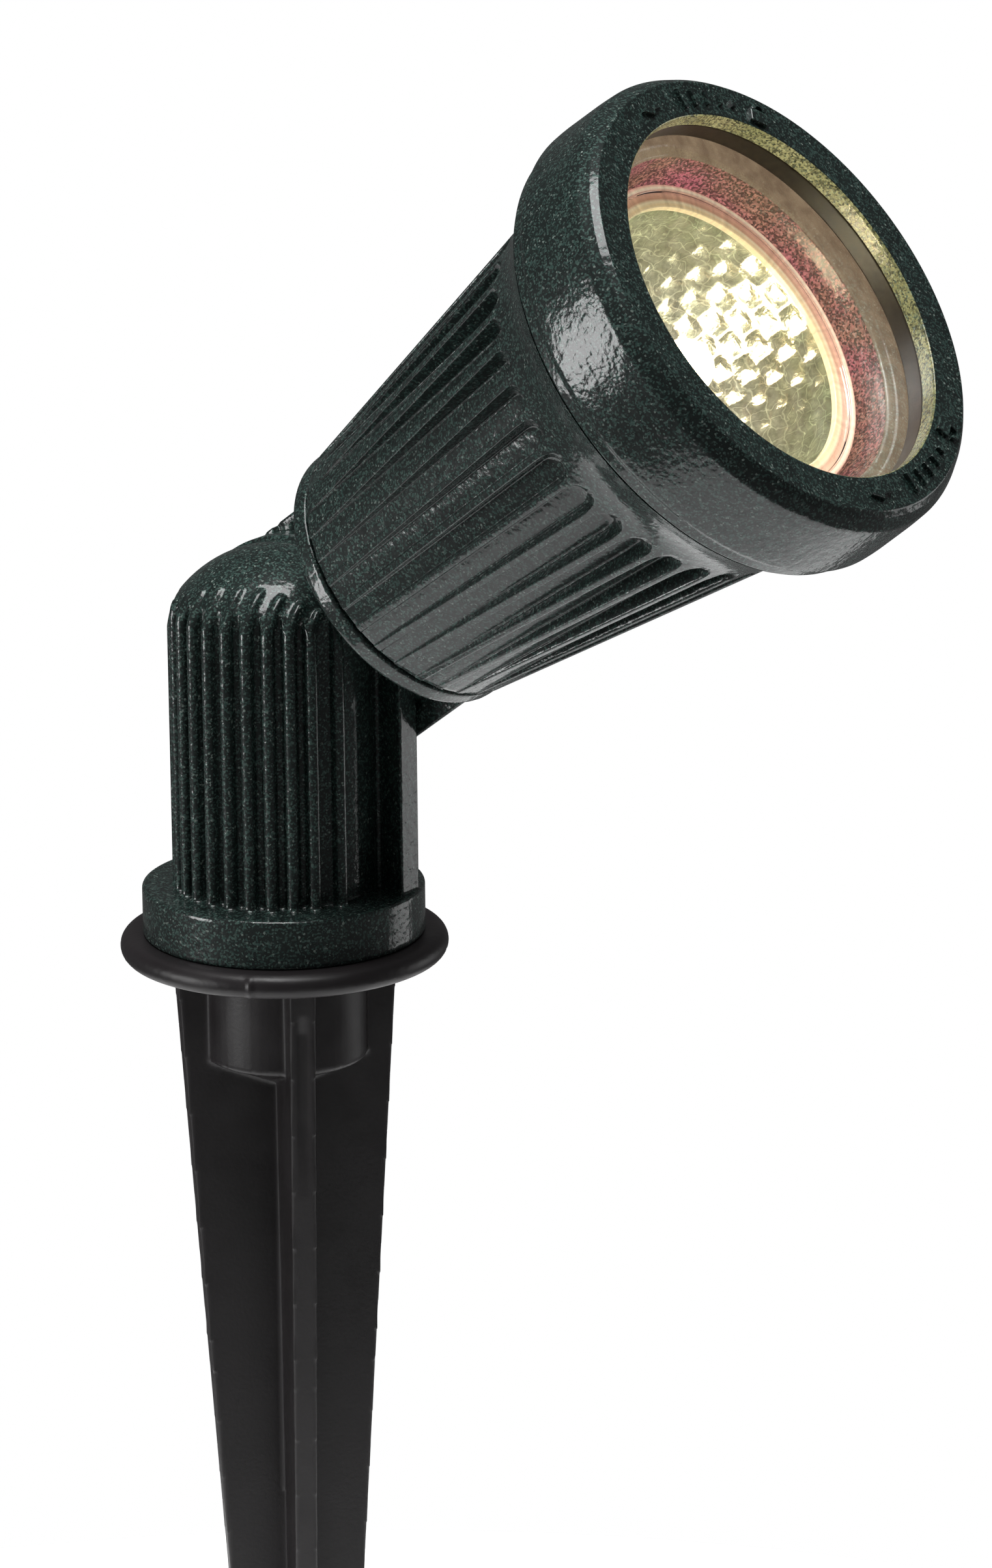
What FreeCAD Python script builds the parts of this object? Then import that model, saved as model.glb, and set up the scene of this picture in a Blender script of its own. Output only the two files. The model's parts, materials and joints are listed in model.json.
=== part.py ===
import FreeCAD, Part
import math
import os

from FreeCAD import Vector

# Low-voltage garden spotlight on a ground stake, in millimetres.
# +Z is up, the origin is on the stake's axis at the underside of its flange (the soil line).
# The knuckle pivots about Y, and the lamp head leans towards +X.
# Head pieces are drawn along a local Z axis that starts at the pivot and leaves through the lens.

# ---------------------------------------------------------------- driving dimensions
FLANGE_R = 25.0
FLANGE_T = 3.8
SOCKET_R = 12.4
SOCKET_DEPTH = 15.8
SOCKET_BORE_R = 10.65
SOCKET_BORE_DEPTH = 14.0
CONE_DROP = 4.6
CONE_TIP_R = 1.5
FIN_TURN = 45.0
FIN_T_TOP = 4.0
FIN_T_TIP = 2.6
FIN_HALF_TOP = 17.0
FIN_HALF_LOW = 5.4
FIN_LOW_Z = -180.0
STAKE_TIP_Z = -215.0
STAKE_TIP_HALF = 0.8

OUTLET_R = 2.7
OUTLET_Z = -11.0
GROMMET_NECK_R = 4.0
GROMMET_LIP_R = 5.2
GROMMET_LIP_T = 1.2
OUTLET_PAD_T = 0.8

DISC_R = 21.5
DISC_T = 7.6
STEM_R = 10.4
STEM_DEPTH = 6.0
WIREWAY_R = 4.6
PIVOT_Z = 44.9
COLUMN_R = 14.9
RIB_R = 16.8
RIB_W = 1.9
RIB_PITCH = 11.9
RIBS_PER_SIDE = 6
LAST_RIB_SHIFT = 4.0
DOME_R = 19.2
TIP_START_Z = 49.5
TIP_R = 15.2
PLATE_HALF = 19.6
PLATE_FRONT_Y = 3.4
PLATE_ROOT_Y = 5.2
PLATE_ROOT_HALF = 14.3
MATING_Y = 8.0
MATING_GAP = 0.15
TOOTH_DEPTH = 0.6
TOOTH_COUNT = 36
TOOTH_IN_R = 13.6
TOOTH_OUT_R = 18.6
TOOTH_SHARE = 0.86
ORING_R = 11.2
ORING_WIRE_R = 0.85
ORING_CLEARANCE = 0.03
HUB_CAVITY_R = 8.6
HUB_BOSS_R = 4.9
SCREW_R = 3.0
SCREW_HEAD_R = 5.0
SCREW_HEAD_H = 3.4
WASHER_T = 1.0
HEX_R = 2.9
HEX_DEPTH = 2.2
SCREW_SEAT_Y = 16.4
SCREW_END_Y = -5.0

HEAD_RISE = 37.0
FACE_S = 112.2
OPENING_R = 29.35
FACE_EDGE_R = 34.9
BEZEL_R = 37.0
CHAMFER_DEPTH = 2.9
BEZEL_SIDE_END = 14.3
BEZEL_END = 16.7
SEAT_DEPTH = 2.7
LENS_GASKET_T = 3.1
LENS_T = 3.0
LENS_R = 32.4
POCKET_R = 32.7
CLOSED_SIGN_ANGLE = 146.0
OPEN_SIGN_ANGLE = 34.0
SIGN_PROUD = 0.6
SIGN_SUNK = 0.3
TICKS = 5
TICK_START = 9.0
TICK_STEP = 5.0
ARROW_OFFSET = 39.0
NOSE_R = 33.5
THREAD_GAP = 0.25
NOSE_BORE_R = 27.2
COLLAR_R = 36.0
RIB_FRONT_DEPTH = 26.4
RIB_FRONT_R = 30.6
CONE_REAR_DEPTH = 79.6
CONE_REAR_R = 21.9
HEAD_RIBS = 34
HEAD_RIB_W = 1.3
FLUTE_DEPTH = 3.0
CAP_GASKET_T = 0.6
CAP_REAR_DEPTH = 83.4
CAP_R = 21.6
SPIGOT_R = 15.4
SPIGOT_H = 3.4
CHANNEL_Y = 12.2
CHANNEL_R = 2.8
CHANNEL_LOW_Z = 6.6
SEAL_Y = 11.3
SEAL_R = 3.95
SEAL_T = 2.9
LEAD_R = 0.9
WEB_T = 1.6
ARM_R = 21.2
CAP_SCREW_CIRCLE_R = 11.4
BRACKET_SCREW_X = 6.0
BRACKET_SCREW_Y = -6.9
SOCKET_HALF = 9.4
SOCKET_SCREW_X = 6.9

LAMP_FACE_DEPTH = 13.6
LAMP_RIM_R = 25.2
LAMP_DEPTH = 36.0
LAMP_NECK_R = 7.0
PIN_GAUGE = 5.3
PIN_R = 0.75
PIN_PLACES = (-PIN_GAUGE / 2, PIN_GAUGE / 2)
LAMP_LOW = FACE_S - LAMP_FACE_DEPTH - LAMP_DEPTH
BOWL_LOW = 10.0
SOCKET_TOP = LAMP_LOW - 0.2
SOCKET_H = 9.0
COUNTERBORE = 1.3
STRIP_T = 0.8
BULB_R = 4.2
CAPSULE_TUBE_L = 14.0
FILAMENT_RISE = 14.5


# ---------------------------------------------------------------- drawing helpers
def revolve(points):
    """Closed (radius, height) outline turned about the Z axis."""
    wire = Part.makePolygon([Vector(r, 0, z) for r, z in points + points[:1]])
    return Part.Face(wire).revolve(Vector(0, 0, 0), Vector(0, 0, 1), 360)


def revolve_edges(edges):
    """Closed outline of edges in the XZ plane turned about the Z axis."""
    face = Part.Face(Part.Wire(Part.__sortEdges__(edges)))
    return face.revolve(Vector(0, 0, 0), Vector(0, 0, 1), 360)


def line(a, b):
    return Part.makeLine(Vector(a[0], 0, a[1]), Vector(b[0], 0, b[1]))


def arc(a, mid, b):
    corners = [Vector(p[0], 0, p[1]) for p in (a, mid, b)]
    return Part.Arc(*corners).toShape()


def disc(radius, z_low, z_high, x=0.0, y=0.0):
    return Part.makeCylinder(radius, z_high - z_low, Vector(x, y, z_low))


def disc_y(radius, y_low, y_high, x=0.0, z=0.0):
    """Cylinder along +Y."""
    return Part.makeCylinder(radius, y_high - y_low, Vector(x, y_low, z), Vector(0, 1, 0))


def box(x0, x1, y0, y1, z0, z1):
    return Part.makeBox(x1 - x0, y1 - y0, z1 - z0, Vector(x0, y0, z0))


def turned(shape, degrees, axis=Vector(0, 0, 1), centre=Vector(0, 0, 0)):
    copy = shape.copy()
    copy.rotate(centre, axis, degrees)
    return copy


def cut_all(shape, tools):
    return shape.cut(Part.makeCompound(tools))


def fuse_all(shape, tools):
    return shape.multiFuse(tools).removeSplitter()


def circle_edges(shape, radius, z, tolerance=0.01):
    """Circular edges of one radius, centred at height z."""
    found = []
    for edge in shape.Edges:
        curve = edge.Curve
        if isinstance(curve, Part.Circle) and abs(curve.Radius - radius) < tolerance:
            if abs(curve.Center.z - z) < tolerance:
                found.append(edge)
    return found


def depth(d):
    """Local height of a plane that lies d behind the bezel's face."""
    return FACE_S - d


def on_head(shape):
    """From the head's own frame to the part's frame, at rest."""
    copy = shape.copy()
    copy.rotate(Vector(0, 0, 0), Vector(0, 1, 0), 90.0 - HEAD_RISE)
    copy.translate(Vector(0, 0, PIVOT_Z))
    return copy


def save(name, shape):
    shape.exportStep("parts/" + name + ".step")


# ---------------------------------------------------------------- ground stake
def fin_pair():
    """One full-width blade of the cross, tapering to the point."""
    outline = [
        (-FIN_HALF_TOP, -0.5),
        (-FIN_HALF_LOW, FIN_LOW_Z),
        (-STAKE_TIP_HALF, STAKE_TIP_Z),
        (STAKE_TIP_HALF, STAKE_TIP_Z),
        (FIN_HALF_LOW, FIN_LOW_Z),
        (FIN_HALF_TOP, -0.5),
        (FIN_HALF_TOP, 0.5),
        (-FIN_HALF_TOP, 0.5),
    ]
    wire = Part.makePolygon([Vector(x, 0, z) for x, z in outline + outline[:1]])
    blade = Part.Face(wire).extrude(Vector(0, FIN_T_TOP, 0))
    blade.translate(Vector(0, -FIN_T_TOP / 2, 0))
    # Both faces are drafted so that the blade thins towards the tip.
    side = [
        (-FIN_T_TOP / 2, 0.5),
        (FIN_T_TOP / 2, 0.5),
        (FIN_T_TIP / 2, STAKE_TIP_Z),
        (-FIN_T_TIP / 2, STAKE_TIP_Z),
    ]
    draft = Part.Face(Part.makePolygon([Vector(0, y, z) for y, z in side + side[:1]]))
    draft = draft.extrude(Vector(4 * FIN_HALF_TOP, 0, 0))
    draft.translate(Vector(-2 * FIN_HALF_TOP, 0, 0))
    return blade.common(draft)


def outlet_axis_tool(radius, start, end):
    """Cylinder along the cable outlet's axis, at the back of the socket (+Y)."""
    return disc_y(radius, start, end, 0.0, OUTLET_Z)


def stake():
    flange = disc(FLANGE_R, 0, FLANGE_T)
    rim = circle_edges(flange, FLANGE_R, 0) + circle_edges(flange, FLANGE_R, FLANGE_T)
    flange = flange.makeFillet(FLANGE_T / 2 - 0.05, rim)
    cone_end = -SOCKET_DEPTH - CONE_DROP
    socket = revolve(
        [(0, 0.5), (SOCKET_R, 0.5), (SOCKET_R, -SOCKET_DEPTH), (CONE_TIP_R, cone_end), (0, cone_end)]
    )
    blades = [turned(fin_pair(), FIN_TURN + 90.0 * i) for i in range(2)]
    outlet_pad = outlet_axis_tool(GROMMET_LIP_R + 1.0, SOCKET_R - 3.0, SOCKET_R + OUTLET_PAD_T)
    body = fuse_all(flange, [socket, outlet_pad] + blades)
    bore = disc(SOCKET_BORE_R, -SOCKET_BORE_DEPTH, FLANGE_T + 1)
    outlet = outlet_axis_tool(GROMMET_NECK_R, SOCKET_BORE_R - 3.0, SOCKET_R + 3.0)
    return cut_all(body, [bore, outlet])


def wire_grommet():
    """Rubber grommet that lines the cable outlet."""
    inner = SOCKET_BORE_R - 1.6
    outer = SOCKET_R + OUTLET_PAD_T
    neck = outlet_axis_tool(GROMMET_NECK_R, inner, outer + GROMMET_LIP_T)
    lip = outlet_axis_tool(GROMMET_LIP_R, outer, outer + GROMMET_LIP_T)
    inside = disc(SOCKET_BORE_R - 0.9, -SOCKET_BORE_DEPTH, 0)
    hole = outlet_axis_tool(OUTLET_R, inner - 1, outer + GROMMET_LIP_T + 1)
    return neck.fuse(lip).cut(inside).cut(hole).removeSplitter()


# ---------------------------------------------------------------- knuckle, lower half
def column_rib(angle):
    """One upright rib with a round crest; angle is measured from -Y."""
    half = RIB_W / 2
    crest = RIB_R - half
    prism = box(-half, half, -crest, -COLUMN_R + 2.0, FLANGE_T + 1, PIVOT_Z + DOME_R)
    nose = disc(half, FLANGE_T + 1, PIVOT_Z + DOME_R, 0, -crest)
    return turned(prism.fuse(nose), angle)


def mating_plate():
    """Tombstone plate behind the column, with its lip raked forward."""
    section = [
        (-PLATE_HALF, MATING_Y),
        (-PLATE_HALF, PLATE_FRONT_Y),
        (-PLATE_ROOT_HALF, PLATE_ROOT_Y),
        (PLATE_ROOT_HALF, PLATE_ROOT_Y),
        (PLATE_HALF, PLATE_FRONT_Y),
        (PLATE_HALF, MATING_Y),
    ]
    base_z = FLANGE_T + DISC_T - 1.0
    wire = Part.makePolygon([Vector(x, y, base_z) for x, y in section + section[:1]])
    upright = Part.Face(wire).extrude(Vector(0, 0, PIVOT_Z - base_z))
    rim = [
        (0, MATING_Y),
        (PLATE_HALF, MATING_Y),
        (PLATE_HALF, PLATE_FRONT_Y),
        (PLATE_ROOT_HALF, PLATE_ROOT_Y),
        (0, PLATE_ROOT_Y),
    ]
    wire = Part.makePolygon([Vector(r, y, 0) for r, y in rim + rim[:1]])
    head = Part.Face(wire).revolve(Vector(0, 0, 0), Vector(0, 1, 0), 360)
    head = head.common(box(-40, 40, -40, 40, 0, 40))
    head.translate(Vector(0, 0, PIVOT_Z))
    return upright.fuse(head)


def tooth_grooves(face_y, direction, phase=0.0):
    """Radial V grooves cut into a face at face_y; direction is the way into the metal."""
    pitch = 360.0 / TOOTH_COUNT
    spread = TOOTH_SHARE * math.tan(math.radians(pitch / 2))
    grooves = []
    for r in (TOOTH_IN_R, TOOTH_OUT_R + 2.0):
        half = r * spread
        corners = [
            Vector(-half, face_y - direction * 0.2, r),
            Vector(half, face_y - direction * 0.2, r),
            Vector(0, face_y + direction * TOOTH_DEPTH, r),
        ]
        grooves.append(Part.makePolygon(corners + corners[:1]))
    wedge = Part.makeLoft(grooves, True, True)
    return [turned(wedge, phase + pitch * i, Vector(0, 1, 0)) for i in range(TOOTH_COUNT)]


def dome_envelope():
    """Outer limit of the ribbed column: rounded rib tips that run into a round dome."""
    tip_z = PIVOT_Z + math.sqrt(DOME_R**2 - TIP_R**2)
    middle = math.radians(72)
    dome_mid = (DOME_R * math.cos(middle), PIVOT_Z + DOME_R * math.sin(middle))
    edges = [
        line((0, FLANGE_T), (RIB_R + 0.1, FLANGE_T)),
        line((RIB_R + 0.1, FLANGE_T), (RIB_R + 0.1, TIP_START_Z)),
        arc((RIB_R + 0.1, TIP_START_Z), (RIB_R - 0.35, (TIP_START_Z + tip_z) / 2 + 0.4), (TIP_R, tip_z)),
        arc((TIP_R, tip_z), dome_mid, (0, PIVOT_Z + DOME_R)),
        line((0, PIVOT_Z + DOME_R), (0, FLANGE_T)),
    ]
    return revolve_edges(edges)


def swivel_base():
    """Cast lower half of the knuckle: stem, disc, ribbed column and mating plate."""
    disc_top = FLANGE_T + DISC_T
    foot = disc(DISC_R, FLANGE_T, disc_top)
    foot_rims = circle_edges(foot, DISC_R, FLANGE_T) + circle_edges(foot, DISC_R, disc_top)
    foot = foot.makeFillet(0.5, foot_rims)
    stem = disc(STEM_R, -STEM_DEPTH, FLANGE_T + 1)
    stem = stem.makeChamfer(0.8, circle_edges(stem, STEM_R, -STEM_DEPTH))
    column = disc(COLUMN_R, FLANGE_T + 1, PIVOT_Z + DOME_R)
    ribs = []
    for i in range(RIBS_PER_SIDE):
        shift = LAST_RIB_SHIFT if i == RIBS_PER_SIDE - 1 else 0.0
        for side in (-1, 1):
            ribs.append(column_rib(side * ((i + 0.5) * RIB_PITCH + shift)))
    half_space = box(-40, 40, -40, MATING_Y - 1.0, FLANGE_T + 1, PIVOT_Z + DOME_R + 1)
    column = fuse_all(column, ribs).common(dome_envelope()).common(half_space)
    body = fuse_all(foot, [stem, column, mating_plate()])

    pivot = Vector(0, 0, PIVOT_Z)
    wireway = disc(WIREWAY_R, -STEM_DEPTH - 1, PIVOT_Z)
    wireway = wireway.cut(disc_y(HUB_BOSS_R, -40, 40, 0, PIVOT_Z))
    cavity = disc_y(HUB_CAVITY_R, -3.0, MATING_Y + 1, 0, PIVOT_Z)
    cavity = cavity.cut(disc_y(HUB_BOSS_R, -4.0, MATING_Y - TOOTH_DEPTH, 0, PIVOT_Z))
    screw_hole = disc_y(SCREW_R + 0.02, SCREW_END_Y - 1.0, MATING_Y + 1, 0, PIVOT_Z)
    ring_floor = MATING_Y + MATING_GAP - ORING_CLEARANCE - 2 * ORING_WIRE_R
    groove_half = ORING_WIRE_R + 0.1
    groove_core = disc_y(ORING_R - groove_half, ring_floor - 1, MATING_Y + 2, 0, PIVOT_Z)
    seal_groove = disc_y(ORING_R + groove_half, ring_floor, MATING_Y + 1, 0, PIVOT_Z).cut(groove_core)
    grooves = tooth_grooves(MATING_Y, -1)
    for groove in grooves:
        groove.translate(pivot)
    return cut_all(body, [wireway, cavity, screw_hole, seal_groove] + grooves)


def knuckle_o_ring():
    ring = Part.makeTorus(ORING_R, ORING_WIRE_R, Vector(0, 0, 0), Vector(0, 1, 0))
    ring.translate(Vector(0, MATING_Y + MATING_GAP - ORING_CLEARANCE - ORING_WIRE_R, PIVOT_Z))
    return ring


def knuckle_screw():
    """Socket-head screw and washer that clamp the two knuckle halves."""
    seat = SCREW_SEAT_Y + 0.05
    head_low = seat + WASHER_T
    head_top = head_low + SCREW_HEAD_H
    shank = disc_y(SCREW_R, SCREW_END_Y, seat, 0, 0)
    washer = disc_y(SCREW_HEAD_R + 1.0, seat, head_low, 0, 0)
    head = disc_y(SCREW_HEAD_R, head_low, head_top, 0, 0)
    corners = [math.radians(60 * i) for i in range(6)]
    hexagon = [Vector(HEX_R * math.cos(a), head_top - HEX_DEPTH, HEX_R * math.sin(a)) for a in corners]
    hollow = Part.Face(Part.makePolygon(hexagon + hexagon[:1])).extrude(Vector(0, HEX_DEPTH + 1, 0))
    screw = fuse_all(shank, [washer, head]).cut(hollow)
    screw.translate(Vector(0, 0, PIVOT_Z))
    return screw


# ---------------------------------------------------------------- knuckle, upper half
def rear_cap():
    """Cast rear cap of the head with its knuckle arm, in the head's frame."""
    face_y = MATING_Y + MATING_GAP
    rear = depth(CAP_REAR_DEPTH)
    front = depth(CONE_REAR_DEPTH) - CAP_GASKET_T
    ring = revolve(
        [
            (0, rear),
            (CAP_R - 0.7, rear),
            (CAP_R, rear + 0.7),
            (CAP_R, front - 0.3),
            (CAP_R - 0.3, front),
            (0, front),
        ]
    )
    spigot = disc(SPIGOT_R, front, front + SPIGOT_H + CAP_GASKET_T)
    arm = disc(ARM_R, 0, rear + 1.0).fuse(Part.makeSphere(ARM_R))
    arm = arm.common(box(-40, 40, face_y, SCREW_SEAT_Y + 4.0, -40, rear + 1.0))
    body = fuse_all(ring, [spigot, arm])
    seat = disc_y(SCREW_HEAD_R + 1.6, SCREW_SEAT_Y, 40, 0, 0)
    screw_hole = disc_y(SCREW_R + 0.1, 0, 40, 0, 0)
    cavity = disc_y(HUB_CAVITY_R, 0, face_y + 5.0, 0, 0)
    cavity = cavity.cut(disc_y(HUB_BOSS_R, face_y + TOOTH_DEPTH, 40, 0, 0))
    spigot_top = front + SPIGOT_H
    channel = disc(CHANNEL_R, CHANNEL_LOW_Z, spigot_top + 3, 0, CHANNEL_Y)
    seal_pocket = disc(SEAL_R + 0.05, spigot_top - SEAL_T + 0.5, spigot_top + 3, 0, SEAL_Y)
    tapped = [disc(1.25, front - 1.8, spigot_top + 2, x, y) for x, y in cap_screw_places()]
    tools = [seat, screw_hole, cavity, channel, seal_pocket] + tapped
    return cut_all(body, tools + tooth_grooves(face_y, 1))


def cap_screw_places():
    radius = CAP_SCREW_CIRCLE_R
    angles = [math.radians(a) for a in (160, 270, 20)]
    return [(radius * math.cos(a), radius * math.sin(a)) for a in angles]


def rear_cap_gasket():
    top = depth(CONE_REAR_DEPTH)
    return disc(CAP_R - 0.9, top - CAP_GASKET_T, top).cut(disc(SPIGOT_R + 0.05, top - 2, top + 1))


def cap_screws():
    """Three screws that pull the rear cap into the housing, heads inside the housing."""
    cap_front = depth(CONE_REAR_DEPTH) + SPIGOT_H
    web = cap_front + WEB_T
    solids = []
    for x, y in cap_screw_places():
        shank = disc(1.23, cap_front - 5.4, web, x, y)
        head = disc(2.3, web, web + 1.6, x, y)
        slot = box(x - 3, x + 3, y - 0.3, y + 0.3, web + 0.9, web + 2)
        solids.append(shank.fuse(head).cut(slot).removeSplitter())
    return Part.makeCompound(solids)


# ---------------------------------------------------------------- housing
def crest_radius(d):
    """Radius of the rib crests at depth d behind the bezel's face."""
    share = (d - RIB_FRONT_DEPTH) / (CONE_REAR_DEPTH - RIB_FRONT_DEPTH)
    return RIB_FRONT_R + share * (CONE_REAR_R - RIB_FRONT_R)


def floor_radius(d):
    """Radius of the flute floors, which meet the crests at the rear."""
    share = (CONE_REAR_DEPTH - d) / (CONE_REAR_DEPTH - RIB_FRONT_DEPTH)
    return crest_radius(d) - FLUTE_DEPTH * share - 0.12


def housing():
    """Ribbed cast cone with a plain nose that carries the bezel."""
    ramp = RIB_FRONT_DEPTH + 4.2
    rear = depth(CONE_REAR_DEPTH)
    front = depth(SEAT_DEPTH + LENS_GASKET_T + LENS_T + 0.05)
    shoulder = depth(BEZEL_END + 0.25)
    floor_front = (floor_radius(ramp), depth(ramp))
    ramp_mid = (floor_radius(ramp) + 0.75, depth(ramp - 2.6))
    crest_front = (RIB_FRONT_R, depth(RIB_FRONT_DEPTH))
    collar_mid = (RIB_FRONT_R + 1.75, depth(RIB_FRONT_DEPTH - 5.2))
    collar_top = (COLLAR_R, shoulder)
    # The lamp chamber is a cone inside the flutes, a plain bore at the nose, and ends at a web.
    web_z = depth(CONE_REAR_DEPTH) + SPIGOT_H
    web_top = web_z + WEB_T
    bore_front = (NOSE_BORE_R, front)
    bore_back = (NOSE_BORE_R - 0.6, depth(LAMP_FACE_DEPTH + 4.0))
    chamber_low = (CONE_REAR_R - 3.4, web_top)
    edges = [
        line((SPIGOT_R + 0.15, rear), (floor_radius(CONE_REAR_DEPTH), rear)),
        line((floor_radius(CONE_REAR_DEPTH), rear), floor_front),
        arc(floor_front, ramp_mid, crest_front),
        arc(crest_front, collar_mid, collar_top),
        line(collar_top, (NOSE_R, shoulder)),
        line((NOSE_R, shoulder), (NOSE_R, front)),
        line((NOSE_R, front), bore_front),
        line(bore_front, bore_back),
        line(bore_back, chamber_low),
        line(chamber_low, (0, web_top)),
        line((0, web_top), (0, web_z)),
        line((0, web_z), (SPIGOT_R + 0.15, web_z)),
        line((SPIGOT_R + 0.15, web_z), (SPIGOT_R + 0.15, rear)),
    ]
    shell = revolve_edges(edges)
    # The ribs stand between the crest cone and just inside the flute floors.
    inset = 0.8
    ring = revolve(
        [
            (floor_radius(CONE_REAR_DEPTH) - inset, rear),
            (CONE_REAR_R, rear),
            (RIB_FRONT_R, depth(RIB_FRONT_DEPTH)),
            (RIB_FRONT_R - inset, depth(RIB_FRONT_DEPTH)),
            (floor_radius(ramp) - inset, depth(ramp)),
        ]
    )
    slab = box(0, 40, -HEAD_RIB_W / 2, HEAD_RIB_W / 2, 0, FACE_S)
    slabs = [turned(slab, 360.0 / HEAD_RIBS * i) for i in range(HEAD_RIBS)]
    ribs = [ring.common(s) for s in slabs]
    body = fuse_all(shell, ribs)
    lead_window = box(-5.5, 5.5, -4.6, 4.6, web_z - 1, web_top + 1)
    wire_window = disc(CHANNEL_R + 1.0, web_z - 1, web_top + 1, 0, SEAL_Y)
    holes = [disc(1.5, web_z - 1, web_top + 1, x, y) for x, y in cap_screw_places()]
    for x, y in bracket_screw_places():
        holes.append(disc(1.0, web_z - 1, web_top + 1, x, y))
    return cut_all(body, [lead_window, wire_window] + holes)


def bracket_screw_places():
    return [(-BRACKET_SCREW_X, BRACKET_SCREW_Y), (BRACKET_SCREW_X, BRACKET_SCREW_Y)]


# ---------------------------------------------------------------- bezel and lens
def arrow(length, width, height, thickness):
    """Flat arrow along +X that stands on the XY plane."""
    tip = [
        (0, -height / 2),
        (length - width, -height / 2),
        (length - width, -width / 2),
        (length, 0),
        (length - width, width / 2),
        (length - width, height / 2),
        (0, height / 2),
    ]
    wire = Part.makePolygon([Vector(x, y, 0) for x, y in tip + tip[:1]])
    return Part.Face(wire).extrude(Vector(0, 0, thickness))


def padlock(is_open, thickness):
    """Small raised padlock sign, closed or with its shackle swung up."""
    body = box(-1.6, 1.6, -1.9, 0.3, 0, thickness)
    lift = 0.5 if is_open else 0.0
    shackle = disc(1.25, 0, thickness, 0, 0.3 + lift).cut(disc(0.7, -1, thickness + 1, 0, 0.3 + lift))
    shackle = shackle.cut(box(-2, 2, -2, 0.3 + lift, -1, thickness + 1))
    legs = [box(-1.25, -0.7, 0.2, 0.35 + lift, 0, thickness)]
    if not is_open:
        legs.append(box(0.7, 1.25, 0.2, 0.35, 0, thickness))
    return fuse_all(body, [shackle] + legs)


def bezel_signs():
    """Raised turning marks on the face: a padlock, ticks of growing length and an arrow."""
    middle = (OPENING_R + FACE_EDGE_R) / 2
    thickness = SIGN_PROUD + SIGN_SUNK
    signs = []
    for start, is_open in ((CLOSED_SIGN_ANGLE, False), (OPEN_SIGN_ANGLE, True)):
        way = -1.0 if is_open else 1.0
        place = [(padlock(is_open, thickness), 0.0)]
        for i in range(TICKS):
            half = 0.7 + 0.25 * i
            tick = box(-0.28, 0.28, -half, half, 0, thickness)
            place.append((tick, way * (TICK_START + TICK_STEP * i)))
        mark = arrow(4.8, 2.4, 0.7, thickness)
        if not is_open:
            mark = turned(mark, 180)
        place.append((mark, way * ARROW_OFFSET))
        for shape, offset in place:
            shape.translate(Vector(0, middle, depth(0) - SIGN_SUNK))
            signs.append(turned(shape, start + offset - 90.0))
    return signs


def bezel():
    face = depth(0)
    side = depth(BEZEL_SIDE_END)
    end = depth(BEZEL_END)
    seat = depth(SEAT_DEPTH)
    thread_start = depth(SEAT_DEPTH + LENS_GASKET_T + LENS_T - 0.6)
    ring = revolve(
        [
            (OPENING_R, face),
            (FACE_EDGE_R, face),
            (BEZEL_R, depth(CHAMFER_DEPTH)),
            (BEZEL_R + 0.2, side + 0.8),
            (BEZEL_R - 0.3, side),
            (COLLAR_R + 0.15, side - 0.35),
            (COLLAR_R + 0.15, end),
            (NOSE_R + THREAD_GAP, end),
            (NOSE_R + THREAD_GAP, thread_start),
            (POCKET_R, thread_start),
            (POCKET_R, seat),
            (OPENING_R, seat),
        ]
    )
    return fuse_all(ring, bezel_signs())


def lens():
    back = depth(SEAT_DEPTH + LENS_GASKET_T + LENS_T)
    plate = disc(LENS_R, back, back + LENS_T)
    rims = circle_edges(plate, LENS_R, back) + circle_edges(plate, LENS_R, back + LENS_T)
    return plate.makeChamfer(0.35, rims)


def lens_gasket():
    top = depth(SEAT_DEPTH)
    return disc(LENS_R, top - LENS_GASKET_T, top).cut(disc(OPENING_R + 0.1, top - 5, top + 1))


# ---------------------------------------------------------------- lamp
def bowl_outline(wall, steps=10):
    """Ellipsoidal bowl from the neck to just under the rim, moved in by wall."""
    length = LAMP_DEPTH - BOWL_LOW - 2.0
    spread = LAMP_RIM_R - 2.0 - LAMP_NECK_R
    outline = []
    for i in range(steps + 1):
        share = i / steps
        radius = LAMP_NECK_R + spread * math.sqrt(1 - (1 - share) ** 2) - wall
        outline.append((radius, LAMP_LOW + BOWL_LOW + length * share))
    return outline


def lamp_reflector():
    """Glass bowl with a thickened rim; the glass cover sits in the rim."""
    face = depth(LAMP_FACE_DEPTH)
    rim_low = face - 2.0
    outer = bowl_outline(0.0)
    inner = bowl_outline(1.6)
    wall = [Vector(r, 0, z) for r, z in outer]
    hollow = [Vector(r, 0, z) for r, z in inner]
    curve_out = Part.BSplineCurve()
    curve_out.interpolate(wall)
    curve_in = Part.BSplineCurve()
    curve_in.interpolate(hollow)
    edges = [
        curve_out.toShape(),
        line(outer[-1], (LAMP_RIM_R, rim_low)),
        line((LAMP_RIM_R, rim_low), (LAMP_RIM_R, face)),
        line((LAMP_RIM_R, face), (LAMP_RIM_R - 1.0, face)),
        line((LAMP_RIM_R - 1.0, face), (LAMP_RIM_R - 1.0, face - 1.1)),
        line((LAMP_RIM_R - 1.0, face - 1.1), (inner[-1][0], face - 1.1)),
        line((inner[-1][0], face - 1.1), inner[-1]),
        curve_in.toShape(),
        line(inner[0], outer[0]),
    ]
    return revolve_edges(edges)


def lamp_cover_glass():
    face = depth(LAMP_FACE_DEPTH)
    return disc(LAMP_RIM_R - 1.1, face - 1.05, face - 0.05)


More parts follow.
